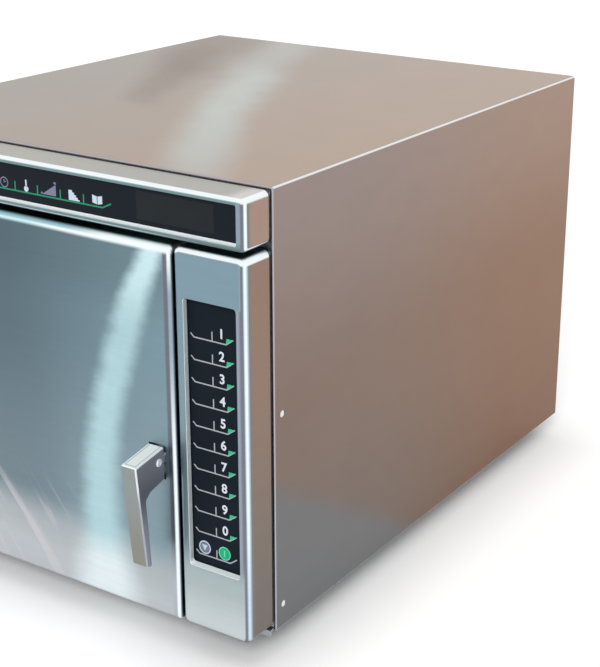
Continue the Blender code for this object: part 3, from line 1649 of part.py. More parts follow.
def build():
    """Makes every piece and hangs the moving ones on their axes."""
    make_outer_case()
    make_chassis_base()
    make_back_panel()
    make_front_frame()
    make_cable_gland()
    make_feet()

    make_display_hood()
    make_display_panel()
    make_display_board()
    make_control_column()
    make_keypad_membrane()
    make_control_board()

    make_cavity_liner()
    make_convection_chamber()
    make_fan_cover()
    make_rack_guide("left", cavity_left + gap, 1)
    make_rack_guide("right", cavity_right - gap, -1)
    make_oven_rack()
    make_cavity_insulation()
    make_cavity_support()
    make_stirrer_cover()
    make_waveguide()
    make_stirrer_motor()
    make_magnetron()
    make_transformer()
    make_capacitor()
    make_convection_heater()
    make_convection_motor()
    make_cooling_fan_housing()
    make_air_filter()
    make_interlock_switches()

    upper_level, lower_level = hinge_plate_levels()
    upper_bush = make_hinge("upper", upper_level, door_top, -1)[2]
    lower_bush = make_hinge("lower", lower_level, door_bottom, 1)[2]
    door_axis = axis_empty("door_axis", (hinge_x, hinge_y, cavity_z))
    carry(door_axis, make_door_skin(), make_door_inner_panel(), make_choke_cover(),
          make_door_seal(), make_door_insulation(), make_handle_bracket(),
          make_pivot_screw(), make_latch_spring(), upper_bush, lower_bush)
    handle_axis = axis_empty("handle_axis", (pivot_x, pivot_y, pivot_z))
    carry(handle_axis, make_handle_lever())
    latch_axis = axis_empty("latch_axis", (latch_left, latch_rear_y, cavity_z))
    carry(latch_axis, make_latch_bar())
    carry(door_axis, handle_axis, latch_axis)

    fan_axis = axis_empty("convection_fan_axis", (cavity_x, fan_y, cavity_z))
    carry(fan_axis, make_convection_fan(), make_convection_shaft())
    stirrer_axis = axis_empty("stirrer_axis", (cavity_x, cavity_mid_y, cavity_ceiling))
    carry(stirrer_axis, make_mode_stirrer())
    cooler_axis = axis_empty("cooling_fan_axis", (cooler_x, cooler_back_y, cooler_z))
    carry(cooler_axis, make_cooling_fan())


build()
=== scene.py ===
"""The looks of the countertop speed oven: camera, light, materials, finer shells and legends.

Metres, +Z up, the door faces -Y, in the frame of the solid model.
"""
import math

import bmesh
import bpy
from mathutils import Matrix, Vector


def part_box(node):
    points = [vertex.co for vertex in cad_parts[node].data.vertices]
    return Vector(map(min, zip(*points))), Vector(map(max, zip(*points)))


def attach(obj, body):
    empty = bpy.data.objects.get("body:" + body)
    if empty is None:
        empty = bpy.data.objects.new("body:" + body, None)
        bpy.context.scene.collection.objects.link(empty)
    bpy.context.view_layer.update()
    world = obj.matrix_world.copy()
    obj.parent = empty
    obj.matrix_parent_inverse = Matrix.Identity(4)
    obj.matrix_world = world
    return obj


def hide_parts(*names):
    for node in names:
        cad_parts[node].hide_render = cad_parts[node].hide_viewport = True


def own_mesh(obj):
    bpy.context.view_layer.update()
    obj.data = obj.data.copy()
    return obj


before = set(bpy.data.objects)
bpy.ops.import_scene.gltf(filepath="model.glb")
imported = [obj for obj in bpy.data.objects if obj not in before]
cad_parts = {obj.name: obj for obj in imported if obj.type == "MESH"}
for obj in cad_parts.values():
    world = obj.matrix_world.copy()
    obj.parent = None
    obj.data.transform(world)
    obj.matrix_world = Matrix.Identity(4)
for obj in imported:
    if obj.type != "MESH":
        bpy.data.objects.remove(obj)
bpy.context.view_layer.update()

# Camera, from the fit to the photograph
camera_place = (0.9078042, -1.1955894, 0.7320235)
camera_azimuth = math.radians(32.3699)
camera_elevation = math.radians(19.1149)
camera_roll = math.radians(0.4717)
camera_lens = 80.854
camera_shift = (-0.06747, -0.05022)
camera_sensor = 36
camera_reach = (0.05, 100)

# How finely round shapes are divided
fine_corner = 8
fine_edge = 7
fine_round = 32
fine_bevel = 3
sharp_angle = math.radians(38)
merge_distance = 0.00001
least_radius = 0.0001
least_mitre = 0.5
overrun = 0.003
lift = 0.0001

# Front covers and door
cover_sheet = 0.0012
cover_joggle = 0.003
cover_rim_gap = 0.004
rear_gap = 0.0003
hood_edge = 0.0040
hood_corner = 0.0055
hood_sheet = 0.0008
hood_window_slope = 0.0018
hood_window_depth = 0.0030
hood_window_corner = 0.0015
glass_lap = 0.0015
column_edge = 0.0050
column_corner = 0.0070
keypad_depth = 0.0050
keypad_slope = 0.0011
keypad_corner = 0.0030
membrane_lap = 0.0030
door_edge = 0.0050
door_corner = 0.0045
door_return = 0.006
hood_lip = 0.0003
column_lip = 0.0006
bush_radius = 0.0058
hinge_setback = 0.012
hinge_inset = 0.010
slot_margin = 0.0007

# Outer case
case_sheet = 0.0012
case_bend = 0.0030
case_front_bend = 0.0018
case_hem = 0.0019
case_foot_flange = 0.014

# Handle lever and pivot screw
lever_edge = 0.0015
lever_fillet = 0.0020
lever_outline = (
    (0.0005, 0.0120, 1), (0.0386, 0.0055, 1), (0.0282, -0.0915, 1), (0.0214, -0.0937, 1),
    (0.0260, -0.0289, 2), (0.0203, -0.0235, 2), (0.0005, -0.0185, 1))
lever_hollow_half = 0.0045
lever_hollow_reach = 0.0200
lever_hollow_rise = 0.0076
lever_hollow_drop = 0.0125
lever_tab_depth = 0.0095
lever_tab_drop = 0.0030
lever_tab_height = 0.0070
lever_rim_inset = 0.0024
lever_rim_width = 0.0010
pivot_reach = 0.0085
pivot_radius = 0.0025
pivot_head_radius = 0.0038
pivot_head = 0.0016
pivot_dome = 0.75
pivot_socket = 0.0013
pivot_socket_depth = 0.7

# Spring under the latch bar
spring_wire = 0.0006
spring_turns = 9
spring_points = 16
spring_sides = 8

# Case screws
screw_radius = 0.0031
screw_height = 0.0011
screw_dome = 0.3
screw_slot = 0.0006
screw_slot_reach = 0.6
screw_slot_turn = math.radians(28)
screw_play = 0.0001
side_screws = ((-0.2458, 0.2293), (-0.2458, 0.0480))

# Keypad legends
digit_count = 10
digit_height = 0.0085
digit_x = 0.2148
digit_top_z = 0.3075
digit_pitch = 0.0198
digit_drop = 0.0078
type_height = 0.729
type_weight = 0.035
line_width = 0.0011
legend_left = 0.1866
legend_right = 0.2195
legend_left_end = (0.1832, 0.0032)
legend_right_end = (0.2267, 0.0052)
tick_x = 0.2053
tick_height = 0.0083
corner_width = 0.0006
button_z = 0.1076
button_radius = 0.0063
button_line_rise = 0.0004
stop_x = 0.1925
stop_ring = 0.80
stop_disc = 0.74
arrow_half = 0.0030
arrow_rise = 0.0026
start_x = 0.2136
start_ring = 0.87
start_disc = 0.84

# Display legends
display_line_z = 0.3962
display_line_width = 0.0013
display_line_left = -0.0230
display_line_right = 0.0962
display_line_end = (0.1058, 0.0046)
display_ticks = (-0.0024, 0.0237, 0.0497, 0.0757)
display_tick_height = 0.0083
clock_place = (-0.0152, 0.4018)
clock_radius = 0.0048
clock_ring = 0.0010
clock_hands = ((0, 0.0026), (0, 0), (0.0018, 0.0010))
hand_width = 0.0008
ramp = ((0.0290, 0.3979), (0.0448, 0.3979), (0.0448, 0.4079))
ramp_foot = (0.0285, 0.3988, 0.0010)
ramp_flag = ((0.0424, 0.4087), (0.0430, 0.4101), (0.0452, 0.4101), (0.0452, 0.4079))
bulb = (0.0106, 0.3995, 0.0026)
stem = ((0.0106, 0.4015), (0.0106, 0.4075))
stem_width = 0.0016
stairs = ((0.0592, 0.3973), (0.0712, 0.3973), (0.0712, 0.3985), (0.0692, 0.3985),
          (0.0692, 0.4003), (0.0672, 0.4003), (0.0672, 0.4023), (0.0652, 0.4023),
          (0.0652, 0.4043), (0.0632, 0.4043), (0.0632, 0.4061), (0.0592, 0.4061))
book_x = 0.0908
page = ((0.0004, 0.3981), (0.0054, 0.3991), (0.0054, 0.4059), (0.0004, 0.4049))
readout = (0.1328, 0.2117, 0.3925, 0.4165)

# Floor and light
floor_half = 30
floor_white = (0.9, 0.9, 0.9, 1)
floor_glow = 0.38
shadow_reach = 0.08
shadow_power = 1.6
shadow_samples = 16
world_light = 0.30


# Shapes

def placed(name, data):
    """A new object of the scene from a mesh, curve, lamp or camera."""
    obj = bpy.data.objects.new(name, data)
    bpy.context.scene.collection.objects.link(obj)
    return obj


def object_from(bm, name, outward=True):
    """Closes a bmesh into a new object, its faces turned outward if asked."""
    if outward:
        bmesh.ops.recalc_face_normals(bm, faces=bm.faces)
    mesh = bpy.data.meshes.new(name)
    bm.to_mesh(mesh)
    bm.free()
    return placed(name, mesh)


def evaluated(obj):
    """The mesh that an object shows with its modifiers, or its curve filled."""
    bpy.context.view_layer.update()
    graph = bpy.context.evaluated_depsgraph_get()
    return bpy.data.meshes.new_from_object(obj.evaluated_get(graph))


def facing(direction):
    """The turn that takes +Z to a direction."""
    return Vector(direction).to_track_quat("Z", "Y").to_matrix().to_4x4()


def fillet(points, radius, closed=True):
    """Rounds the corners of an outline. A radius of its own may follow a point."""
    rounded = []
    count = len(points)
    for i, corner in enumerate(points):
        here = Vector(corner[:2])
        size = corner[2] if len(corner) > 2 else radius
        if not closed and i in (0, count - 1) or not size:
            rounded.append(here)
            continue
        before = Vector(points[i - 1][:2]) - here
        after = Vector(points[(i + 1) % count][:2]) - here
        half = before.angle(after) / 2
        run = min(size / math.tan(half), before.length / 2, after.length / 2)
        first = here + before.normalized() * run
        size = run * math.tan(half)
        centre = here + (before.normalized() + after.normalized()).normalized() * (
            size / math.sin(half))
        start = first - centre
        sweep = start.angle_signed(here + after.normalized() * run - centre)
        for k in range(fine_corner + 1):
            rounded.append(centre + Matrix.Rotation(-sweep * k / fine_corner, 2) @ start)
    return rounded


def ring(x0, x1, z0, z1, y, radius):
    """An upright rounded rectangle, anticlockwise as seen from the front."""
    size = max(radius, least_radius)
    outline = fillet([(x1, z0), (x1, z1), (x0, z1), (x0, z0)], size)
    return [Vector((p.x, y, p.y)) for p in outline]


def quarter():
    """How far along and how far down, out of one, at each step of a quarter round."""
    for k in range(fine_edge + 1):
        turn = math.pi / 2 * k / fine_edge
        yield math.sin(turn), 1 - math.cos(turn)


def skin(rows, closed=True, first_cap=False, last_cap=False):
    """A bmesh with faces between rows of points, and over its ends if asked."""
    bm = bmesh.new()
    lines = [[bm.verts.new(p) for p in row] for row in rows]
    count = len(rows[0])
    for a, b in zip(lines, lines[1:]):
        for i in range(count if closed else count - 1):
            j = (i + 1) % count
            bm.faces.new((a[i], a[j], b[j], b[i]))
    if first_cap:
        bm.faces.new(reversed(lines[0]))
    if last_cap:
        bm.faces.new(lines[-1])
    return bm


def surface(name, rows, sheet, closed=True, first_cap=False):
    """A sheet through rows of points, given its thickness inward by Solidify."""
    obj = object_from(skin(rows, closed, first_cap), name, outward=False)
    solid = obj.modifiers.new("Sheet", "SOLIDIFY")
    solid.thickness = sheet
    solid.offset = 1
    solid.use_even_offset = True
    solid.use_quality_normals = True
    return obj


def block(name, low, high):
    """A plain cutter between two corners."""
    bm = bmesh.new()
    bmesh.ops.create_cube(bm, size=1)
    bmesh.ops.scale(bm, vec=Vector(high) - Vector(low), verts=bm.verts)
    bmesh.ops.translate(bm, vec=(Vector(high) + Vector(low)) / 2, verts=bm.verts)
    return object_from(bm, name)


def rod(name, start, end, radius, sides=fine_round):
    """A capped cylinder from start to end, for cutting."""
    start, end = Vector(start), Vector(end)
    run = end - start
    bm = bmesh.new()
    bmesh.ops.create_cone(
        bm, cap_ends=True, segments=sides, radius1=radius, radius2=radius,
        depth=run.length, matrix=Matrix.Translation((start + end) / 2) @ facing(run))
    return object_from(bm, name)


def combine(target, operation, *others):
    """Cuts a shape with others, or joins them to it, and removes them."""
    for other in others:
        mod = target.modifiers.new(operation.title(), "BOOLEAN")
        mod.operation = operation
        mod.solver = "EXACT"
        mod.object = other
    settle(target)
    for other in others:
        bpy.data.objects.remove(other, do_unlink=True)
    return target


def settle(obj):
    """Makes an object's modifiers into its own mesh."""
    mesh = evaluated(obj)
    mesh.name = obj.name
    obj.modifiers.clear()
    obj.data = mesh
    return obj


def smooth(obj):
    """Shades round stretches smooth, keeps flats flat and sharp edges sharp."""
    settle(obj)
    obj.data.shade_smooth()
    obj.data.set_sharp_from_angle(angle=sharp_angle)
    weigh = obj.modifiers.new("Weighted", "WEIGHTED_NORMAL")
    weigh.keep_sharp = True
    return obj


def turned(name, profile, foot, direction):
    """A profile of (radius, height) pairs turned about an axis."""
    mesh = bpy.data.meshes.new(name)
    mesh.from_pydata([(r, 0, h) for r, h in profile],
                     [(i, i + 1) for i in range(len(profile) - 1)], [])
    obj = placed(name, mesh)
    screw = obj.modifiers.new("Turn", "SCREW")
    screw.steps = screw.render_steps = fine_round
    screw.use_merge_vertices = True
    screw.merge_threshold = merge_distance
    settle(obj)
    obj.data.transform(Matrix.Translation(foot) @ facing(direction))
    return obj


side_view = Matrix(((0, 0, 1, 0), (1, 0, 0, 0), (0, 1, 0, 0), (0, 0, 0, 1)))
front_view = Matrix.Rotation(math.radians(90), 4, "X")


def plate(name, loops, thickness, place, edge=0.0):
    """A flat outline with holes, given a thickness and rounded edges."""
    curve = bpy.data.curves.new(name, "CURVE")
    curve.dimensions = "2D"
    curve.fill_mode = "BOTH"
    curve.extrude = thickness / 2 - edge
    curve.bevel_depth = edge
    curve.bevel_resolution = fine_bevel
    curve.offset = -edge
    for loop in loops:
        spline = curve.splines.new("POLY")
        spline.points.add(len(loop) - 1)
        for point, (across, up) in zip(spline.points, loop):
            point.co = (across, up, 0, 1)
        spline.use_cyclic_u = True
    return meshed(name, curve, place)


def meshed(name, curve, place):
    """Makes a curve or text into a closed mesh object, in place."""
    guide = placed(name + "_guide", curve)
    mesh = evaluated(guide)
    bpy.data.objects.remove(guide, do_unlink=True)
    bm = bmesh.new()
    bm.from_mesh(mesh)
    bmesh.ops.remove_doubles(bm, verts=bm.verts, dist=merge_distance)
    bm.transform(place)
    mesh.materials.clear()
    return object_from(bm, name)


def merged(name, pieces):
    """One object from several."""
    bm = bmesh.new()
    for piece in pieces:
        bm.from_mesh(piece.data)
        bpy.data.objects.remove(piece, do_unlink=True)
    return object_from(bm, name)


def circle(x, z, radius):
    """A round loop of points."""
    turns = (2 * math.pi * k / fine_round for k in range(fine_round))
    return [(x + radius * math.cos(t), z + radius * math.sin(t)) for t in turns]


def stroke(points, width):
    """The outline of a line of even width along points."""
    half = width / 2
    line = [Vector(p) for p in points]
    left, right = [], []
    runs = [(b - a).normalized() for a, b in zip(line, line[1:])]
    for here, before, after in zip(line, runs[:1] + runs, runs + runs[-1:]):
        run = before + after
        side = Vector((-run.y, run.x)).normalized()
        stretch = 1 / max(least_mitre, side.dot(Vector((-after.y, after.x))))
        left.append(here + side * half * stretch)
        right.append(here - side * half * stretch)
    return left + right[::-1]


# Places taken from the solids

def hood_window():
    """The display window's edges: left, right, bottom, top."""
    low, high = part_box("display_panel")
    return low.x + glass_lap, high.x - glass_lap, low.z + glass_lap, high.z - glass_lap


def keypad_window():
    """The keypad recess's edges: left, right, bottom, top."""
    low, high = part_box("keypad_membrane")
    return (low.x + membrane_lap, high.x - membrane_lap,
            low.z + membrane_lap - keypad_slope, high.z - membrane_lap)


def pivot_place():
    """The middle of the pivot screw."""
    low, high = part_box("handle_pivot_screw")
    return (low + high) / 2


# Materials

def shade(red, green, blue):
    """A colour out of 255 as the linear values that the nodes use."""
    linear = []
    for value in (red, green, blue):
        share = value / 255
        linear.append(share / 12.92 if share <= 0.04045 else ((share + 0.055) / 1.055) ** 2.4)
    return (*linear, 1)


def put(tree, socket, value):
    """Links a socket, or sets a number or a colour out of 255."""
    if isinstance(value, bpy.types.NodeSocket):
        tree.links.new(value, socket)
    elif isinstance(value, tuple):
        socket.default_value = shade(*value)[:len(socket.default_value)]
    else:
        socket.default_value = value


def new_node(tree, kind, inputs, **settings):
    """Makes a node with its settings and inputs, and gives back its outputs."""
    node = tree.nodes.new("ShaderNode" + kind)
    for name, value in settings.items():
        setattr(node, name, value)
    for key, value in inputs.items():
        put(tree, node.inputs[key], value)
    return node.outputs


def reckon(tree, operation, first, second=0.0):
    """One sum of two values, each a number or a socket."""
    return new_node(tree, "Math", {0: first, 1: second}, operation=operation)[0]


class Paint:
    """Builds one material. A value may be a number, a colour out of 255 or a socket."""

    def __init__(self, name, metallic=0.0, specular=0.5, coat=0.0, coat_roughness=0.1):
        self.material = bpy.data.materials.new(name)
        self.material.use_nodes = True
        self.tree = self.material.node_tree
        self.shader = self.tree.nodes["Principled BSDF"]
        for name, value in (("Metallic", metallic), ("Specular IOR Level", specular),
                            ("Coat Weight", coat), ("Coat Roughness", coat_roughness)):
            self.put(name, value)
        coords = self.node("TexCoord", {})
        self.place = coords["Object"]
        self.x, self.y, self.z = self.node("SeparateXYZ", {0: self.place})
        self.nx, self.ny, self.nz = self.node("SeparateXYZ", {0: coords["Normal"]})

    def node(self, kind, inputs, **settings):
        """The outputs of a new node of this material."""
        return new_node(self.tree, kind, inputs, **settings)

    def put(self, name, value):
        """Links or sets one input of the shader."""
        put(self.tree, self.shader.inputs[name], value)

    def math(self, operation, first, second=0.0):
        """One sum of two values."""
        return reckon(self.tree, operation, first, second)

    def times(self, *values):
        """The product of several values."""
        total = values[0]
        for value in values[1:]:
            total = self.math("MULTIPLY", total, value)
        return total

    def fade(self, value, start, end):
        """Nought before start, one after end, and a soft change between them."""
        return self.node("MapRange", {"Value": value, "From Min": start, "From Max": end},
                         interpolation_type="SMOOTHSTEP")["Result"]

    def band(self, value, start, end, soft):
        """One between start and end, with soft sides."""
        return self.times(self.fade(value, start - soft, start + soft),
                          self.fade(value, end + soft, end - soft))

    def mix(self, share, first, second):
        """A colour between two."""
        return self.node("Mix", {"Factor": share, 6: first, 7: second}, data_type="RGBA")[2]

    def change(self, first, value, start, end, second):
        """A colour that turns into another as a value goes from start to end."""
        return self.mix(self.fade(value, start, end), first, second)

    def line(self, value, *stops):
        """A smooth curve through (place, height) stops, read at value."""
        node = self.tree.nodes.new("ShaderNodeFloatCurve")
        low, high = stops[0][0], stops[-1][0]
        heights = [height for _, height in stops]
        least, most = min(heights), max(heights)
        points = node.mapping.curves[0].points
        for k, (at, height) in enumerate(stops):
            spot = ((at - low) / (high - low), (height - least) / (most - least))
            if k in (0, len(stops) - 1):
                points[0 if k == 0 else -1].location = spot
            else:
                points.new(*spot)
        node.mapping.update()
        share = self.math("DIVIDE", self.math("SUBTRACT", value, low), high - low)
        put(self.tree, node.inputs["Value"], share)
        return self.math("ADD", self.times(node.outputs[0], most - least), least)

    def noise(self, stretch, detail=3, roughness=0.5, lean=0.0):
        """Noise from nought to one, with so many waves a metre, or so many along each axis."""
        if not isinstance(stretch, tuple):
            stretch = (stretch, stretch, stretch)
        turn = self.node("VectorRotate", {"Vector": self.place, "Angle": math.radians(lean)},
                         rotation_type="Y_AXIS")
        waves = self.node("VectorMath", {0: turn[0], 1: Vector(stretch)}, operation="MULTIPLY")
        return self.node("TexNoise", {"Vector": waves[0], "Scale": 1, "Detail": detail,
                                      "Roughness": roughness})[0]

    def cells(self, scale, distance="EUCLIDEAN"):
        """The distance to the nearest of many scattered points."""
        return self.node("TexVoronoi", {"Vector": self.place, "Scale": scale},
                         distance=distance)["Distance"]

    def vary(self, colour, value, amount):
        """A colour made lighter and darker by a value that runs from nought to one."""
        gain = self.math("ADD", self.times(value, 2 * amount), 1 - amount)
        return self.node("VectorMath", {0: colour, "Scale": gain}, operation="SCALE")[0]

    def bump(self, height, distance, strength):
        """Raises the surface by a height from nought to one over a distance."""
        raised = {"Height": height, "Distance": distance, "Strength": strength}
        self.put("Normal", self.node("Bump", raised)[0])

    def finish(self, colour, roughness):
        """Sets the colour and roughness and gives the material back."""
        self.put("Base Color", colour)
        self.put("Roughness", roughness)
        return self.material

    def dull(self, share, amount):
        """Makes the surface less metallic by an amount, in full where a share is one."""
        self.put("Metallic", self.math("SUBTRACT", 1.0, self.times(share, amount)))

    def bent(self, low, high):
        """One on rounded edges and nought on flats."""
        sizes = [self.math("ABSOLUTE", part) for part in (self.nx, self.ny, self.nz)]
        widest = self.math("MAXIMUM", sizes[0], self.math("MAXIMUM", sizes[1], sizes[2]))
        return self.fade(self.math("SUBTRACT", 1.0, widest), low, high)

    def brushed(self, colour, grain=(12, 12, 400), fine=(60, 60, 2600)):
        """Brushed steel: fine lines in the colour, the gloss and the surface."""
        lines = self.noise(fine, roughness=0.6)
        strokes = self.noise(grain, detail=2)
        smudge = self.noise(9)
        for value, amount in ((lines, 0.05), (strokes, 0.04), (smudge, 0.03)):
            colour = self.vary(colour, value, amount)
        self.bump(lines, 0.00002, 0.35)
        rough = self.math("ADD", self.times(lines, 0.10), 0.29)
        return self.finish(colour, self.math("ADD", rough, self.times(smudge, 0.05)))


# The white of painted highlights, and of the painted light on recess walls
painted_light_white = (243, 250, 252)


def case_paint():
    """The outer case: warm grey sides with painted reflection and shade, a paler top with two
    long painted reflections, painted highlights on the bends.
    """
    p = Paint("case_steel", metallic=1.0)
    # Painted reflection and shade on the sides: darker towards the foot, greyer towards the front
    side = p.change((128, 92, 68), p.z, 0.02, 0.24, (139, 105, 82))
    side = p.change(side, p.z, 0.22, 0.44, (159, 133, 118))
    fore = p.change((119, 109, 102), p.z, 0.05, 0.24, (131, 112, 102))
    fore = p.change(fore, p.z, 0.22, 0.44, (149, 134, 129))
    side = p.change(side, p.y, 0.26, -0.20, fore)
    # A painted reflection: a cooler wedge along the side's foot, wider towards the front
    edge_z = p.math("SUBTRACT", 0.0257, p.times(p.y, 0.581))
    reflected_wedge = p.fade(p.math("SUBTRACT", edge_z, p.z), -0.004, 0.030)
    side = p.mix(p.times(reflected_wedge, 0.85), side, (114, 117, 120))
    # The sides turned away to the left and rear get a plainer colour, with the same painted shade
    # towards the foot
    plain = p.change((134, 128, 123), p.z, 0.02, 0.42, (152, 145, 140))
    turned_away = p.math("MAXIMUM", p.fade(p.ny, 0.4, 0.8), p.fade(p.nx, -0.4, -0.8))
    side = p.mix(turned_away, side, plain)
    top = p.change((161, 152, 144), p.x, -0.24, 0.24, (174, 152, 135))
    # Painted reflections: a pale streak over the top, from the front right to the rear left, and
    # a dark one beside it
    middle = p.line(p.y, (-0.258, 0.163), (-0.14, 0.092), (-0.06, 0.044), (0.02, 0.002),
                    (0.10, -0.035), (0.18, -0.075), (0.318, -0.126))
    cloud = p.noise(14, detail=4, roughness=0.6)
    drift = p.times(p.math("SUBTRACT", cloud, 0.5), 0.025)
    away = p.math("ADD", p.math("SUBTRACT", p.x, middle), drift)
    pale = p.times(p.fade(p.math("ABSOLUTE", away), 0.056, 0.004),
                   p.line(p.y, (-0.258, 0.35), (-0.14, 0.95), (0.10, 1.0), (0.20, 0.55),
                          (0.318, 0.60)))
    off = p.math("ABSOLUTE", p.math("ADD", away, 0.100))
    trough = p.line(p.y, (-0.258, 0.030), (-0.02, 0.036), (0.10, 0.052), (0.318, 0.080))
    dark = p.times(p.fade(p.math("DIVIDE", off, trough), 1.2, 0.1),
                   p.line(p.y, (-0.258, 0.0), (-0.10, 0.0), (-0.05, 0.50), (0.06, 0.80),
                          (0.13, 1.0), (0.22, 0.90), (0.318, 0.20)))
    top = p.mix(dark, top, (136, 118, 106))
    top = p.mix(pale, top, (188, 191, 186))
    colour = p.change(side, p.nz, 0.4, 0.8, top)
    # Painted highlights along the bends, duller and bluer where a bend faces the front
    bend = p.change((232, 234, 234), p.ny, -0.10, -0.30, (178, 178, 190))
    colour = p.mix(p.bent(0.04, 0.16), colour, bend)
    speck = p.noise(900, roughness=0.7)
    return p.brushed(p.vary(colour, speck, 0.06), (20, 20, 60), (400, 400, 1600))


def cover_edges(p, colour, rim, side, light, first, second, last, side_y):
    """A cover's right rounding, painted as light falls on it: a rim tint, a painted highlight, a
    dark painted reflection line, its side's colour.
    """
    run = p.math("MAXIMUM", p.math("SUBTRACT", p.y, side_y), 0.0)
    place = p.math("ADD", p.nx, p.times(run, p.fade(p.nx, 0.90, 0.99), 100))
    colour = p.change(colour, p.nx, 0.02, 0.30, rim)
    colour = p.change(colour, p.nx, first, second, light)
    colour = p.change(colour, place, last, last + 0.18, (124, 124, 128))
    return p.change(colour, place, last + 0.18, last + 0.67, side)


def lit_recess(p, colour, x0, x1, z0, z1, soft):
    """Whitens a recess's left and lower walls, which face the light."""
    inside = p.times(p.band(p.x, x0, x1, soft), p.band(p.z, z0, z1, soft))
    lit = p.times(inside, p.fade(p.math("MAXIMUM", p.nx, p.nz), 0.2, 0.4))
    p.dull(lit, 0.8)
    return p.mix(lit, colour, painted_light_white)


def hood_paint():
    """The display hood, with painted light: a cool front, painted highlights on the upper
    rounding and at the foot of the window.
    """
    p = Paint("hood_steel", metallic=1.0)
    low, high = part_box("display_hood")
    x0, x1, z0, z1 = hood_window()
    # Painted reflection on the front, lighter and bluer up towards the window, with a lavender
    # strip beside its right edge
    front = p.change((104, 119, 121), p.z, low.z + 0.002, z0, (118, 145, 149))
    strip = p.fade(p.x, x1 - 0.0004, x1 + 0.0004)
    front = p.mix(p.times(strip, p.fade(p.z, z0, z0 + 0.004)), front, (142, 158, 171))
    side = (163, 138, 124)
    colour = cover_edges(p, front, (116, 124, 136), side, painted_light_white, 0.66, 0.90, 0.96,
                         low.y + hood_edge)
    colour = p.change(colour, p.nx, -0.6, -0.9, (150, 144, 139))
    # A painted highlight on the lower rounding under the window, fading out to the right
    lower_highlight = p.band(p.nz, -0.62, -0.28, 0.10)
    lower_highlight = p.times(lower_highlight, p.fade(p.z, z0, low.z), p.fade(p.x, 0.22, 0.10))
    colour = p.mix(lower_highlight, colour, (216, 240, 246))
    # A painted highlight on the upper rounding
    colour = p.change(colour, p.nz, 0.08, 0.38, painted_light_white)
    # The top face, with a painted highlight towards its right end
    top = p.times(p.fade(p.nz, 0.90, 0.98), p.fade(p.z, z1, high.z))
    glow = p.fade(p.x, high.x - 0.024, high.x - 0.008)
    colour = p.mix(top, colour, p.mix(glow, (173, 171, 164), (208, 204, 202)))
    colour = lit_recess(p, colour, x0 + 0.0003, x1 - 0.0003, z0 + 0.0003, z1 - 0.0003, 0.0002)
    return p.brushed(colour)


def column_paint():
    """The control column, with painted light: cool at the top, a pale painted reflection at the
    bottom, painted light on the recess walls.
    """
    p = Paint("column_steel", metallic=1.0)
    low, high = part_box("control_column")
    x0, x1, z0, z1 = keypad_window()
    # Painted reflection on the front, pale towards the bottom
    front = p.change((129, 155, 167), p.z, 0.34, 0.10, (132, 150, 158))
    front = p.change(front, p.z, 0.110, 0.080, (172, 184, 186))
    front = p.change(front, p.z, 0.080, 0.036, (200, 208, 210))
    # Painted reflection on the strip right of the keypad, lighter near the recess
    above = p.times(p.fade(p.z, z1 - 0.001, z1 + 0.001), 0.0032)
    past = p.math("SUBTRACT", p.math("SUBTRACT", p.x, above), x1)
    right = p.times(p.fade(past, 0.0, 0.0010), p.fade(p.z, z0, z0 + 0.02))
    strip = p.change((152, 162, 174), past, 0.0020, high.x - column_edge - x1 + 0.0008,
                     (121, 124, 136))
    front = p.mix(right, front, strip)
    # Painted reflection on the side and a painted highlight on the rounding, both brighter higher
    # up
    side = p.change((122, 115, 108), p.z, 0.05, 0.30, (145, 121, 107))
    light = p.change((208, 222, 241), p.z, 0.06, 0.16, (234, 250, 255))
    colour = cover_edges(p, front, (119, 125, 136), side, light, 0.46, 0.78, 0.88,
                         low.y + column_edge)
    # Painted shade on the lower rounding and on the left side
    colour = p.change(colour, p.nz, -0.25, -0.70, (104, 104, 106))
    colour = p.change(colour, p.nx, -0.6, -0.9, (96, 104, 112))
    # A painted highlight on the top rounding, and the top face beyond it painted dark
    crown = p.change(painted_light_white, p.nz, 0.80, 0.98, (96, 122, 130))
    colour = p.change(colour, p.nz, 0.02, 0.24, crown)
    colour = lit_recess(p, colour, x0 - 0.0002, x1 - 0.0010, z0 - 0.0002, z1 + 0.0002, 0.0004)
    return p.brushed(colour)


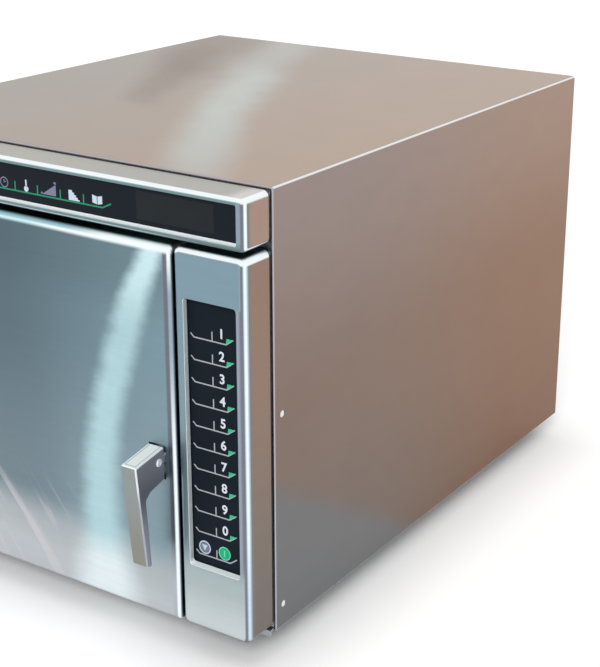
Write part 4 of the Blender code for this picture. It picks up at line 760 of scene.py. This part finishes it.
def door_paint():
    """The door, with painted light: cool steel with a curved streak of painted reflected light,
    and a pale foot that is a painted reflection.
    """
    p = Paint("door_steel", metallic=1.0)
    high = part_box("door_skin")[1]
    # Painted reflection: the front is lighter to the right and lower down
    front = p.change((89, 108, 117), p.x, -0.04, 0.19, (115, 139, 148))
    lower = p.change((95, 114, 124), p.x, -0.04, 0.19, (126, 152, 163))
    front = p.change(front, p.z, 0.35, 0.29, lower)
    near_foot = p.change((123, 140, 148), p.x, 0.00, 0.08, (138, 158, 167))
    front = p.mix(p.times(p.fade(p.z, 0.30, 0.12), 0.75), front, near_foot)
    # The pale foot, with strands of light over it, both painted reflections
    drift = p.noise((18, 18, 6), detail=2)
    foot_z = p.math("ADD", p.z, p.math("SUBTRACT", p.times(p.x, 0.10), p.times(drift, 0.02)))
    front = p.change(front, foot_z, 0.110, 0.068, (176, 182, 186))
    front = p.change(front, foot_z, 0.070, 0.045, (187, 192, 196))
    strand = p.noise((9, 9, 95), lean=-52)
    reflected_strands = p.times(p.fade(strand, 0.50, 0.62), p.fade(foot_z, 0.140, 0.075),
                    p.fade(p.x, 0.070, 0.000), p.fade(p.x, -0.100, -0.030), 0.55)
    front = p.mix(reflected_strands, front, (210, 205, 208))
    # The curved streak, a painted reflection of light
    middle = p.line(p.z, (0.030, 0.085), (0.148, 0.083), (0.188, 0.088), (0.228, 0.097),
                    (0.278, 0.112), (0.328, 0.1298), (0.377, 0.1535))
    wisp = p.noise((26, 26, 60), detail=4, roughness=0.65)
    ripple = p.times(p.math("SUBTRACT", wisp, 0.5), 0.012)
    away = p.math("ABSOLUTE", p.math("SUBTRACT", p.math("ADD", p.x, ripple), middle))
    width = p.line(p.z, (0.030, 0.042), (0.060, 0.036), (0.090, 0.027), (0.148, 0.022),
                   (0.228, 0.020), (0.310, 0.0185), (0.350, 0.0148), (0.377, 0.0135))
    share = p.math("DIVIDE", away, width)
    streak = p.fade(share, 1.35, 0.25)
    glow = p.change((178, 210, 216), p.z, 0.100, 0.060, (225, 236, 239))
    glow = p.change(glow, p.z, 0.29, 0.36, (208, 236, 242))
    front = p.mix(p.times(streak, p.math("ADD", p.times(wisp, 0.25), 0.82)), front, glow)
    # The right rounding, painted from a mauve verge through a painted highlight to its dark side
    verge = p.fade(p.x, high.x - 0.0092, high.x - 0.0072)
    mauve = p.change((111, 117, 128), p.z, 0.12, 0.06, (179, 184, 191))
    front = p.mix(verge, front, mauve)
    light = p.change((158, 172, 184), p.z, 0.30, 0.18, painted_light_white)
    light = p.change(light, p.z, 0.33, 0.37, painted_light_white)
    colour = p.change(front, p.nx, 0.06, 0.40, light)
    colour = p.change(colour, p.nx, 0.66, 0.84, (112, 130, 146))
    colour = p.change(colour, p.nx, 0.86, 0.96, (40, 48, 60))
    colour = p.change(colour, p.nx, -0.6, -0.9, (120, 116, 112))
    # The upper rounding, with painted highlights, and its top face painted dark, lighter towards
    # the right
    bright = p.change((208, 242, 248), p.x, 0.00, 0.06, painted_light_white)
    pale = p.change((158, 196, 206), p.x, 0.05, 0.11, painted_light_white)
    dark = p.change((40, 52, 64), p.x, 0.05, 0.16, (128, 165, 168))
    crown = p.change(bright, p.z, 0.3716, 0.3738, pale)
    crown = p.change(crown, p.nz, 0.30, 1.00, dark)
    top_z = p.math("SUBTRACT", p.z, p.times(p.fade(p.x, 0.10, 0.00), 0.0009))
    top_light = p.math("MAXIMUM", p.fade(p.nz, 0.02, 0.12), p.fade(top_z, 0.3672, 0.3710))
    colour = p.mix(top_light, colour, crown)
    return p.brushed(colour)


def lever_paint():
    """The cast lever, with painted light: a near-white lit top with a fine line, grey grip,
    darker sides in painted shade, painted highlights on the edges.
    """
    p = Paint("lever_steel", metallic=1.0)
    low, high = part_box("handle_lever")
    # Painted shade on the sides, darkest part way up
    side = p.change((112, 114, 126), p.z, 0.165, 0.120, (160, 166, 180))
    side = p.change(side, p.z, 0.160, 0.190, (140, 144, 154))
    grip = p.change((146, 152, 152), p.z, 0.17, 0.10, (140, 140, 132))
    colour = p.change(grip, p.math("ABSOLUTE", p.nx), 0.80, 0.95, side)
    # The top painted near-white where light falls on it
    colour = p.change(colour, p.nz, 0.5, 0.8, (250, 255, 253))
    sideways = p.math("ABSOLUTE", p.math("SUBTRACT", p.x, (low.x + high.x) / 2))
    inward = p.math("MINIMUM", p.math("SUBTRACT", (high.x - low.x) / 2, sideways),
                    p.math("SUBTRACT", p.y, low.y))
    rim = p.band(inward, lever_rim_inset, lever_rim_inset + lever_rim_width, 0.0003)
    colour = p.mix(p.times(rim, p.fade(p.nz, 0.90, 0.96), 0.8), colour, (168, 188, 190))
    # Painted highlights on the front edges and the upper rounded edges
    corner = p.times(p.fade(p.nx, 0.06, 0.25), p.fade(p.nx, 0.990, 0.94), p.fade(p.ny, 0.3, 0.0))
    edge = p.change((172, 175, 186), p.z, 0.150, 0.175, (232, 238, 244))
    colour = p.mix(corner, colour, edge)
    raised = p.times(p.bent(0.05, 0.20), p.fade(p.nz, 0.15, 0.40))
    colour = p.mix(raised, colour, (246, 252, 252))
    lit = p.math("MAXIMUM", p.fade(p.nz, 0.3, 0.7), p.times(p.fade(p.nx, 0.5, 0.9), 0.75))
    p.dull(lit, 0.85)
    speck = p.noise(900, detail=4, roughness=0.7)
    cloud = p.noise(60)
    p.bump(speck, 0.00006, 0.5)
    colour = p.vary(p.vary(colour, speck, 0.05), cloud, 0.05)
    return p.finish(colour, p.math("ADD", p.times(cloud, 0.14), 0.30))


def sheet_paint(name, colour, spread, rough, metallic=1.0, fine=200):
    """Plain sheet metal or casting, with a soft mottling and a fine tooth."""
    p = Paint(name, metallic=metallic)
    mottle = p.noise(34, detail=4, roughness=0.6)
    tooth = p.noise(fine, roughness=0.6)
    p.bump(tooth, 0.00003, 0.4)
    colour = p.vary(p.vary(colour, mottle, spread), tooth, 0.05)
    return p.finish(colour, p.math("ADD", p.times(mottle, 0.16), rough - 0.08))


def zinc_paint():
    """Zinc-coated sheet, with the patches that its crystals make."""
    p = Paint("zinc_steel", metallic=1.0)
    flake = p.math("FRACT", p.times(p.cells(170), 9.0))
    mottle = p.noise(50)
    p.bump(flake, 0.00002, 0.3)
    colour = p.vary(p.vary((168, 172, 176), flake, 0.05), mottle, 0.08)
    return p.finish(colour, p.math("ADD", p.times(flake, 0.10), 0.34))


def glass_paint():
    """The dark display glass, a little lighter over the readout."""
    p = Paint("black_glass", specular=0.10)
    x0, x1, z0, z1 = readout
    field = p.times(p.band(p.x, x0, x1, 0.0006), p.band(p.z, z0, z1, 0.0006))
    colour = p.mix(field, (19, 27, 36), (34, 39, 43))
    haze = p.noise(30)
    dust = p.noise(1500, detail=2)
    p.bump(haze, 0.00004, 0.2)
    return p.finish(p.vary(p.vary(colour, haze, 0.14), dust, 0.10),
                    p.math("ADD", p.times(haze, 0.08), 0.08))


def moulded_paint(name, colour, rough, specular=0.35, grain=900):
    """Moulded plastic or rubber with a fine grain."""
    p = Paint(name, specular=specular)
    tooth = p.noise(grain, roughness=0.6)
    cloud = p.noise(40)
    p.bump(tooth, 0.00005, 0.5)
    return p.finish(p.vary(p.vary(colour, tooth, 0.08), cloud, 0.08),
                    p.math("ADD", p.times(cloud, 0.16), rough - 0.08))


def circuit_paint():
    """A circuit board: green lacquer over copper tracks."""
    p = Paint("circuit", specular=0.4)
    track = p.fade(p.cells(160, "CHEBYCHEV"), 0.30, 0.36)
    colour = p.mix(track, (22, 84, 52), (46, 122, 78))
    p.bump(track, 0.00004, 0.5)
    return p.finish(p.vary(colour, p.noise(60, detail=2), 0.08), 0.38)


def mesh_paint():
    """A fine woven filter."""
    p = Paint("filter_mesh", metallic=0.7)
    waves = [p.math("ABSOLUTE", p.math("SINE", p.times(part, 2600))) for part in (p.x, p.y)]
    weave = p.math("MAXIMUM", *waves)
    p.bump(weave, 0.0002, 0.7)
    colour = p.change((56, 58, 60), weave, 0.4, 0.9, (158, 160, 160))
    return p.finish(colour, 0.5)


def wadding_paint():
    """Pale mineral wool, loose and fibrous."""
    p = Paint("wadding", specular=0.2)
    fibre = p.noise((700, 90, 700), detail=5, roughness=0.7)
    lump = p.noise(60, detail=4)
    p.bump(p.math("ADD", fibre, lump), 0.0012, 0.6)
    colour = p.mix(lump, (214, 206, 184), (236, 231, 216))
    return p.finish(p.vary(colour, fibre, 0.14), 0.95)


def ink_paint(name, colour):
    """Printed ink with a slight screen texture."""
    p = Paint(name, specular=0.2)
    screen = p.noise(2400, detail=2)
    p.bump(screen, 0.00001, 0.3)
    return p.finish(p.vary(colour, screen, 0.06), 0.45)


def lacquer_paint():
    """Varnished windings: copper under a clear brown coat."""
    p = Paint("lacquer", metallic=0.3, coat=0.5, coat_roughness=0.15)
    turns = p.math("ABSOLUTE", p.math("SINE", p.times(p.z, 3400)))
    p.bump(turns, 0.00015, 0.5)
    colour = p.change((92, 46, 24), turns, 0.1, 0.9, (168, 92, 48))
    return p.finish(p.vary(colour, p.noise(80, detail=2), 0.10), 0.35)


def element_paint():
    """A heater's sheath, darkened and blued by heat."""
    p = Paint("element_steel", metallic=1.0)
    heat = p.noise(26)
    colour = p.change((92, 84, 80), heat, 0.35, 0.65, (98, 100, 116))
    tooth = p.noise(600)
    p.bump(tooth, 0.00004, 0.5)
    return p.finish(p.vary(colour, tooth, 0.08), p.math("ADD", p.times(heat, 0.2), 0.40))


def slot_name(material):
    """A material's name without the number that follows it where the name was taken."""
    return material.name.split(".")[0]


paints = {slot_name(paint): paint for paint in (
    case_paint(), zinc_paint(), glass_paint(), wadding_paint(), circuit_paint(), lacquer_paint(),
    element_paint(), mesh_paint(),
    sheet_paint("front_steel", (150, 160, 166), 0.05, 0.36),
    sheet_paint("inner_steel", (188, 188, 186), 0.05, 0.34, fine=(40, 40, 1500)),
    sheet_paint("aluminium", (196, 198, 200), 0.06, 0.40, fine=400),
    moulded_paint("black_film", (20, 29, 38), 0.42, specular=0.06, grain=1400),
    moulded_paint("black_plastic", (34, 35, 37), 0.48),
    moulded_paint("rubber", (30, 30, 31), 0.78, specular=0.2, grain=600),
    moulded_paint("silicone", (112, 116, 118), 0.60, specular=0.3, grain=500),
    moulded_paint("white_plastic", (226, 225, 218), 0.44),
    moulded_paint("ceramic", (232, 228, 216), 0.40, specular=0.5, grain=300))}
paints["handle_steel"] = lever_paint()


# Finer shells in place of the plain ones

def dress(obj, body, material, slot, *replaced):
    """Gives a piece its body and material, and hides the pieces that it stands in for."""
    obj.data.materials.clear()
    obj.data.materials.append(material)
    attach(obj, body)
    if replaced:
        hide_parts(*replaced)


def cover_rows(low, high, edge, corner, back_rows):
    """Rows of a cover from its flat face round the front edge to its back rim."""
    steps_in = [(edge * (1 - along), low.y + edge * down) for along, down in quarter()]
    return [ring(low.x + inset, high.x - inset, low.z + inset, high.z - inset, y, corner - inset)
            for inset, y in steps_in + back_rows]


def recess_rows(x0, x1, z0, z1, y, depth, slope, corner, lip):
    """Rows of a recess from its floor up its walls and over a small round lip."""
    rows = [ring(x0, x1, z0 + slope, z1, y + depth, corner)]
    for along, down in quarter():
        out = lip * down
        rows.append(ring(x0 - out, x1 + out, z0 - out, z1 + out, y + lip * (1 - along),
                         corner + out))
    return rows


def joggled_back(high):
    """A cover's rear rows: a step in, then the rim that meets the front frame."""
    rim = high.y + rear_gap - cover_rim_gap
    return [(0, rim), (cover_joggle, rim), (cover_joggle, high.y)]


def make_cover(name, node, recess, lip, edge, corner, sheet, paint):
    """A cover of the front with a recess, given as its window, depth, slope and corner."""
    low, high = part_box(node)
    window, depth, slope, recess_corner = recess
    rows = recess_rows(*window, low.y, depth, slope, recess_corner, lip)
    rows += cover_rows(low, high, edge, corner, joggled_back(high))
    cover = smooth(surface(name, rows, sheet))
    dress(cover, "oven", paint, "front_steel", node)


def make_hood():
    """The display hood."""
    recess = (hood_window(), hood_window_depth, hood_window_slope, hood_window_corner)
    make_cover("hood_shell", "display_hood", recess, hood_lip, hood_edge, hood_corner,
               hood_sheet, hood_paint())


def make_column():
    """The control column."""
    recess = (keypad_window(), keypad_depth, keypad_slope, keypad_corner)
    make_cover("column_shell", "control_column", recess, column_lip, column_edge, column_corner,
               cover_sheet, column_paint())


def make_door():
    """The door's outer shell, with its lever slot and hinge holes."""
    low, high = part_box("door_skin")
    rows = cover_rows(low, high, door_edge, door_corner, [(0, high.y), (door_return, high.y)])
    door = settle(surface("door_shell", rows, cover_sheet, first_cap=True))
    lever_low, lever_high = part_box("handle_lever")
    pivot = pivot_place()
    foot = pivot.z + lever_outline[-1][1]
    hinge = (low.x + hinge_inset, low.y + hinge_setback)
    cutters = [block("lever_slot",
                     (lever_low.x - slot_margin, low.y - overrun, foot - slot_margin),
                     (lever_high.x + slot_margin, low.y + cover_sheet + overrun,
                      lever_high.z + slot_margin))]
    for name, start, end in (("upper", high.z - overrun, high.z + overrun),
                             ("lower", low.z - overrun, low.z + overrun)):
        cutters.append(rod("bush_hole_" + name, (*hinge, start), (*hinge, end), bush_radius))
    door = smooth(combine(door, "DIFFERENCE", *cutters))
    dress(door, "door", door_paint(), "front_steel", "door_skin")


def case_profile(low, high, inset, y):
    """The wrapper's bent section: foot flanges, sides and top."""
    bend = max(case_bend - inset, least_radius)
    left, right = low.x + inset, high.x - inset
    floor, roof = low.z + inset, high.z - inset
    flange = case_foot_flange - inset
    corners = [(left + flange, floor), (left, floor), (left, roof),
               (right, roof), (right, floor), (right - flange, floor)]
    return [Vector((p.x, y, p.y)) for p in fillet(corners, bend, closed=False)]


def make_case():
    """The outer case, with holes for its side screws."""
    low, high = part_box("outer_case")
    rows = [case_profile(low, high, 0, high.y)]
    for along, down in quarter():
        rows.append(case_profile(low, high, case_front_bend * down,
                                 low.y + case_front_bend * (1 - along)))
    rows.append(case_profile(low, high, case_hem, low.y))
    case = settle(surface("case_shell", rows, case_sheet, closed=False))
    holes = []
    for y, z in side_screws:
        for side in (low.x, high.x):
            holes.append(rod("screw_hole", (side - overrun, y, z), (side + overrun, y, z),
                             screw_radius + screw_play))
    case = smooth(combine(case, "DIFFERENCE", *holes))
    dress(case, "oven", paints["case_steel"], "case_steel", "outer_case")


def make_side_screws():
    """Domed slotted screws, their heads level with the case's sides."""
    low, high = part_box("outer_case")
    profile = [(0, 0)]
    profile += [(screw_radius * along, -screw_height * down * screw_dome)
                for along, down in quarter()]
    profile += [(screw_radius, -screw_height), (0, -screw_height)]
    half = Vector((screw_height / 3, screw_slot / 2, screw_radius * screw_slot_reach))
    heads = []
    for y, z in side_screws:
        for side, way in ((low.x, -1), (high.x, 1)):
            head = turned("screw_head", profile, (side - way * lift, y, z), (way, 0, 0))
            slot = block("screw_slot", -half, half)
            slot.data.transform(Matrix.Translation((side, y, z))
                                @ Matrix.Rotation(screw_slot_turn, 4, "X"))
            heads.append(combine(head, "DIFFERENCE", slot))
    screws = smooth(merged("side_screws", heads))
    paint = sheet_paint("screw_steel", (250, 252, 252), 0.02, 0.26, metallic=0.2)
    dress(screws, "oven", paint, "inner_steel")


def make_lever():
    """The cast lever, with its hollow and its tab."""
    low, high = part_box("handle_lever")
    face_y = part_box("door_skin")[0].y
    pivot = pivot_place()
    outline = [(face_y - reach, pivot.z + rise, lever_fillet * size)
               for reach, rise, size in lever_outline]
    middle = (low.x + high.x) / 2
    lever = plate("lever_casting", [fillet(outline, lever_fillet)], high.x - low.x,
                  Matrix.Translation((middle, 0, 0)) @ side_view, lever_edge)
    tab_low = (middle + lever_hollow_half, face_y - pivot_reach, pivot.z - lever_tab_drop)
    combine(lever, "DIFFERENCE", block(
        "lever_hollow",
        (middle - lever_hollow_half, face_y - lever_hollow_reach, pivot.z - lever_hollow_drop),
        (middle + lever_hollow_half, face_y + overrun, pivot.z + lever_hollow_rise)))
    combine(lever, "UNION", block(
        "lever_tab", tab_low,
        (high.x, face_y + lever_tab_depth, pivot.z - lever_tab_drop + lever_tab_height)))
    combine(lever, "DIFFERENCE", rod(
        "lever_bore", (low.x - overrun, pivot.y, pivot.z), (high.x + overrun, pivot.y, pivot.z),
        pivot_radius + rear_gap))
    dress(smooth(lever), "handle", paints["handle_steel"], "handle_steel", "handle_lever")


def make_pivot_screw():
    """The pivot screw, with a domed head at each side and a socket in it."""
    low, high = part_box("handle_pivot_screw")
    pivot = pivot_place()
    half = (high.x - low.x) / 2
    profile = [(pivot_head_radius * along, half - pivot_head * pivot_dome * down)
               for along, down in quarter()]
    profile += [(pivot_head_radius, half - pivot_head), (pivot_radius, half - pivot_head)]
    profile += [(r, -h) for r, h in reversed(profile)]
    screw = turned("pivot_bolt", profile, pivot, (1, 0, 0))
    depth = pivot_head * pivot_socket_depth
    sockets = [rod("socket", (start, pivot.y, pivot.z), (end, pivot.y, pivot.z),
                   pivot_socket, sides=6)
               for start, end in ((high.x - depth, high.x + overrun),
                                  (low.x + depth, low.x - overrun))]
    combine(screw, "DIFFERENCE", *sockets)
    paint = sheet_paint("bolt_steel", (240, 243, 250), 0.03, 0.24, metallic=0.4)
    dress(smooth(screw), "handle", paint, "inner_steel", "handle_pivot_screw")


def make_latch_spring():
    """The spring under the latch bar, which shortens as the bar comes down."""
    low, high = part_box("latch_spring")
    middle = (low + high) / 2
    radius = (high.x - low.x) / 2 - spring_wire
    foot, head = low.z + spring_wire, high.z - spring_wire
    total = spring_turns * spring_points
    angles = [2 * math.pi * n / spring_sides for n in range(spring_sides)]
    rows = []
    for k in range(total + 1):
        turn = 2 * math.pi * k / spring_points
        outward = Vector((math.cos(turn), math.sin(turn), 0))
        centre = Vector((middle.x, middle.y, foot + (head - foot) * k / total)) + outward * radius
        rows.append([centre + outward * (spring_wire * math.cos(angle))
                     + Vector((0, 0, spring_wire * math.sin(angle))) for angle in angles])
    coil = skin(rows, first_cap=True, last_cap=True)
    spring = smooth(object_from(coil, "latch_spring_coil"))
    dress(spring, "door", paints["zinc_steel"], "zinc_steel", "latch_spring")
    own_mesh(spring)


# Legends on the keypad and the display

def number(text, x, z, height, y):
    """A bold number, its middle at x and z, lying on the sheet behind it."""
    curve = bpy.data.curves.new("number", "FONT")
    curve.body = text
    curve.align_x = "CENTER"
    curve.align_y = "CENTER"
    curve.size = height / type_height
    curve.offset = height * type_weight
    curve.extrude = lift
    return meshed("number", curve, Matrix.Translation((x, y, z)) @ front_view)


def flat(name, loops, y):
    """A thin printed shape on a sheet whose front is at y."""
    return plate(name, loops, lift * 2, Matrix.Translation((0, y, 0)) @ front_view)


def ruled(line, width, ticks, tick_height, y):
    """A printed line and the upright ticks that stand on it."""
    base = line[1][1]
    marks = [flat("line", [stroke(line, width)], y)]
    for x in ticks:
        tick = [(x, base + width / 2), (x, base + tick_height)]
        marks.append(flat("tick", [stroke(tick, width)], y))
    return marks


def printed(name, ink, colour, slot, *marks):
    """Joins printed marks into one piece of one ink."""
    dress(merged(name, marks), "oven", ink_paint(ink, colour), slot)


def make_keypad_legends():
    """Digits, and their underlines with ticks and green corners."""
    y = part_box("keypad_membrane")[0].y
    digits, lines, greens = [], [], []
    for n in range(digit_count + 1):
        last = n == digit_count
        z = button_z + button_line_rise if last else digit_top_z - digit_pitch * n
        base = z - digit_drop
        left = (legend_left_end[0], base + legend_left_end[1])
        right = (legend_right_end[0], base + legend_right_end[1])
        line = [left, (legend_left, base), (legend_right, base), right]
        lines += ruled(line, line_width, [tick_x], tick_height, y)
        if not last:
            text = str((n + 1) % digit_count)
            digits.append(number(text, digit_x, z, digit_height, y))
            corner = [(legend_right, base + line_width / 2), right,
                      (legend_right + corner_width, right[1])]
            greens.append(flat("corner", [corner], y - lift * 2))
    printed("keypad_lines", "silver_ink", (176, 178, 186), "black_film", *lines)
    printed("keypad_digits", "digit_ink", (222, 226, 238), "black_film", *digits)
    printed("keypad_corners", "green_ink", (48, 196, 140), "black_film", *greens)


def make_buttons():
    """The two round buttons printed under the digits: a grey one and a green one."""
    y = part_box("keypad_membrane")[0].y
    low, high = button_z - arrow_half, button_z + arrow_half

    def rounds(name, x, *shares):
        return flat(name, [circle(x, button_z, button_radius * share) for share in shares], y)

    arrow = [(stop_x - arrow_half, button_z + arrow_rise),
             (stop_x + arrow_half, button_z + arrow_rise), (stop_x, low)]
    bar = stroke([(start_x, low), (start_x, high)], line_width)
    printed("stop_disc", "grey_ink", (116, 124, 146), "black_film",
            rounds("stop_field", stop_x, stop_disc))
    printed("stop_mark", "pale_ink", (196, 206, 222), "black_film",
            rounds("stop_ring", stop_x, 1, stop_ring), flat("stop_arrow", [arrow], y - lift * 2))
    printed("start_disc", "deep_green_ink", (10, 176, 122), "black_film",
            rounds("start_field", start_x, start_disc))
    printed("start_mark", "mint_ink", (120, 226, 186), "black_film",
            rounds("start_ring", start_x, 1, start_ring), flat("start_bar", [bar], y - lift * 2))


def make_display_legends():
    """The green line with its ticks, and the row of plain pictograms."""
    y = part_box("display_panel")[0].y
    base = display_line_z
    line = [(display_line_left, base), (display_line_right, base),
            (display_line_end[0], base + display_line_end[1])]
    greens = ruled(line, display_line_width, display_ticks, display_tick_height, y)
    printed("display_lines", "line_ink", (42, 146, 108), "black_glass", *greens)
    x, z = clock_place
    hands = stroke([(x + along, z + rise) for along, rise in clock_hands], hand_width)
    printed("display_grey_marks", "lavender_ink", (128, 130, 156), "black_glass",
            flat("clock", [circle(x, z, clock_radius), circle(x, z, clock_radius - clock_ring)],
                 y),
            flat("hands", [hands], y), flat("ramp", [ramp], y), flat("ramp_flag", [ramp_flag], y),
            flat("ramp_foot", [circle(*ramp_foot)], y))
    pages = [flat("page", [[(book_x + side * out, high) for out, high in page]], y)
             for side in (-1, 1)]
    printed("display_white_marks", "white_ink", (206, 222, 236), "black_glass",
            flat("bulb", [circle(*bulb)], y), flat("stem", [stroke(stem, stem_width)], y),
            flat("stairs", [stairs], y), *pages)


make_hood()
make_column()
make_door()
make_case()
make_side_screws()
make_lever()
make_pivot_screw()
make_latch_spring()
make_keypad_legends()
make_buttons()
make_display_legends()

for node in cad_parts.values():
    for place in node.material_slots:
        place.material = paints[slot_name(place.material)]


# Floor, light and camera

def light_path(tree):
    """One for what the camera sees, straight on or in metal and glass, and else nought."""
    rays = new_node(tree, "LightPath", {})
    either = reckon(tree, "MAXIMUM", rays["Is Camera Ray"], rays["Is Glossy Ray"])
    return reckon(tree, "MAXIMUM", either, rays["Is Transmission Ray"])


def make_floor():
    """A wide white floor that keeps the object's soft shadow."""
    bm = bmesh.new()
    bmesh.ops.create_grid(bm, x_segments=8, y_segments=8, size=floor_half)
    floor = object_from(bm, "floor")
    material = bpy.data.materials.new("floor_white")
    material.use_nodes = True
    tree = material.node_tree
    tree.nodes.clear()
    matt = new_node(tree, "BsdfDiffuse", {"Color": Vector(floor_white)})
    shadow = new_node(tree, "AmbientOcclusion", {"Distance": shadow_reach},
                      samples=shadow_samples)
    openness = reckon(tree, "POWER", shadow["AO"], shadow_power)
    level = reckon(tree, "MULTIPLY", openness, floor_glow)
    strength = reckon(tree, "MULTIPLY", light_path(tree), level)
    glow = new_node(tree, "Emission", {"Color": (255, 255, 255), "Strength": strength})
    both = new_node(tree, "AddShader", {0: matt[0], 1: glow[0]})
    new_node(tree, "OutputMaterial", {"Surface": both[0]})
    floor.data.materials.append(material)


def make_world():
    """A white surround, and plain soft light from all round at a lower strength."""
    world = bpy.data.worlds.new("studio")
    bpy.context.scene.world = world
    world.use_nodes = True
    tree = world.node_tree
    strength = new_node(tree, "MapRange", {"Value": light_path(tree), "To Min": world_light,
                                           "To Max": 1})
    ground = tree.nodes["Background"]
    put(tree, ground.inputs["Color"], (255, 255, 255))
    put(tree, ground.inputs["Strength"], strength[0])


def make_lamp(name, azimuth, elevation, spread, strength):
    """A wide soft light from far away, at angles from the front and from the floor."""
    data = bpy.data.lights.new(name, "SUN")
    data.angle = math.radians(spread)
    data.energy = strength
    lamp = placed(name, data)
    lamp.rotation_euler = (math.radians(90 - elevation), 0, math.radians(azimuth))
    lamp.visible_camera = False
    lamp.visible_glossy = False


def make_camera():
    """The photograph's camera."""
    data = bpy.data.cameras.new("camera")
    data.sensor_width = camera_sensor
    data.lens = camera_lens
    data.shift_x, data.shift_y = camera_shift
    data.clip_start, data.clip_end = camera_reach
    camera = placed("camera", data)
    sideways, up = math.cos(camera_elevation), math.sin(camera_elevation)
    back = Vector((math.sin(camera_azimuth) * sideways, -math.cos(camera_azimuth) * sideways, up))
    turn = (-back).to_track_quat("-Z", "Y").to_matrix().to_4x4()
    roll = Matrix.Rotation(camera_roll, 4, "Z")
    camera.matrix_world = Matrix.Translation(camera_place) @ turn @ roll
    bpy.context.scene.camera = camera


make_floor()
make_world()
make_lamp("key", azimuth=28, elevation=34, spread=24, strength=2.0)
make_lamp("overhead", azimuth=0, elevation=75, spread=40, strength=0.4)
make_camera()
bpy.context.scene.view_settings.view_transform = "Standard"
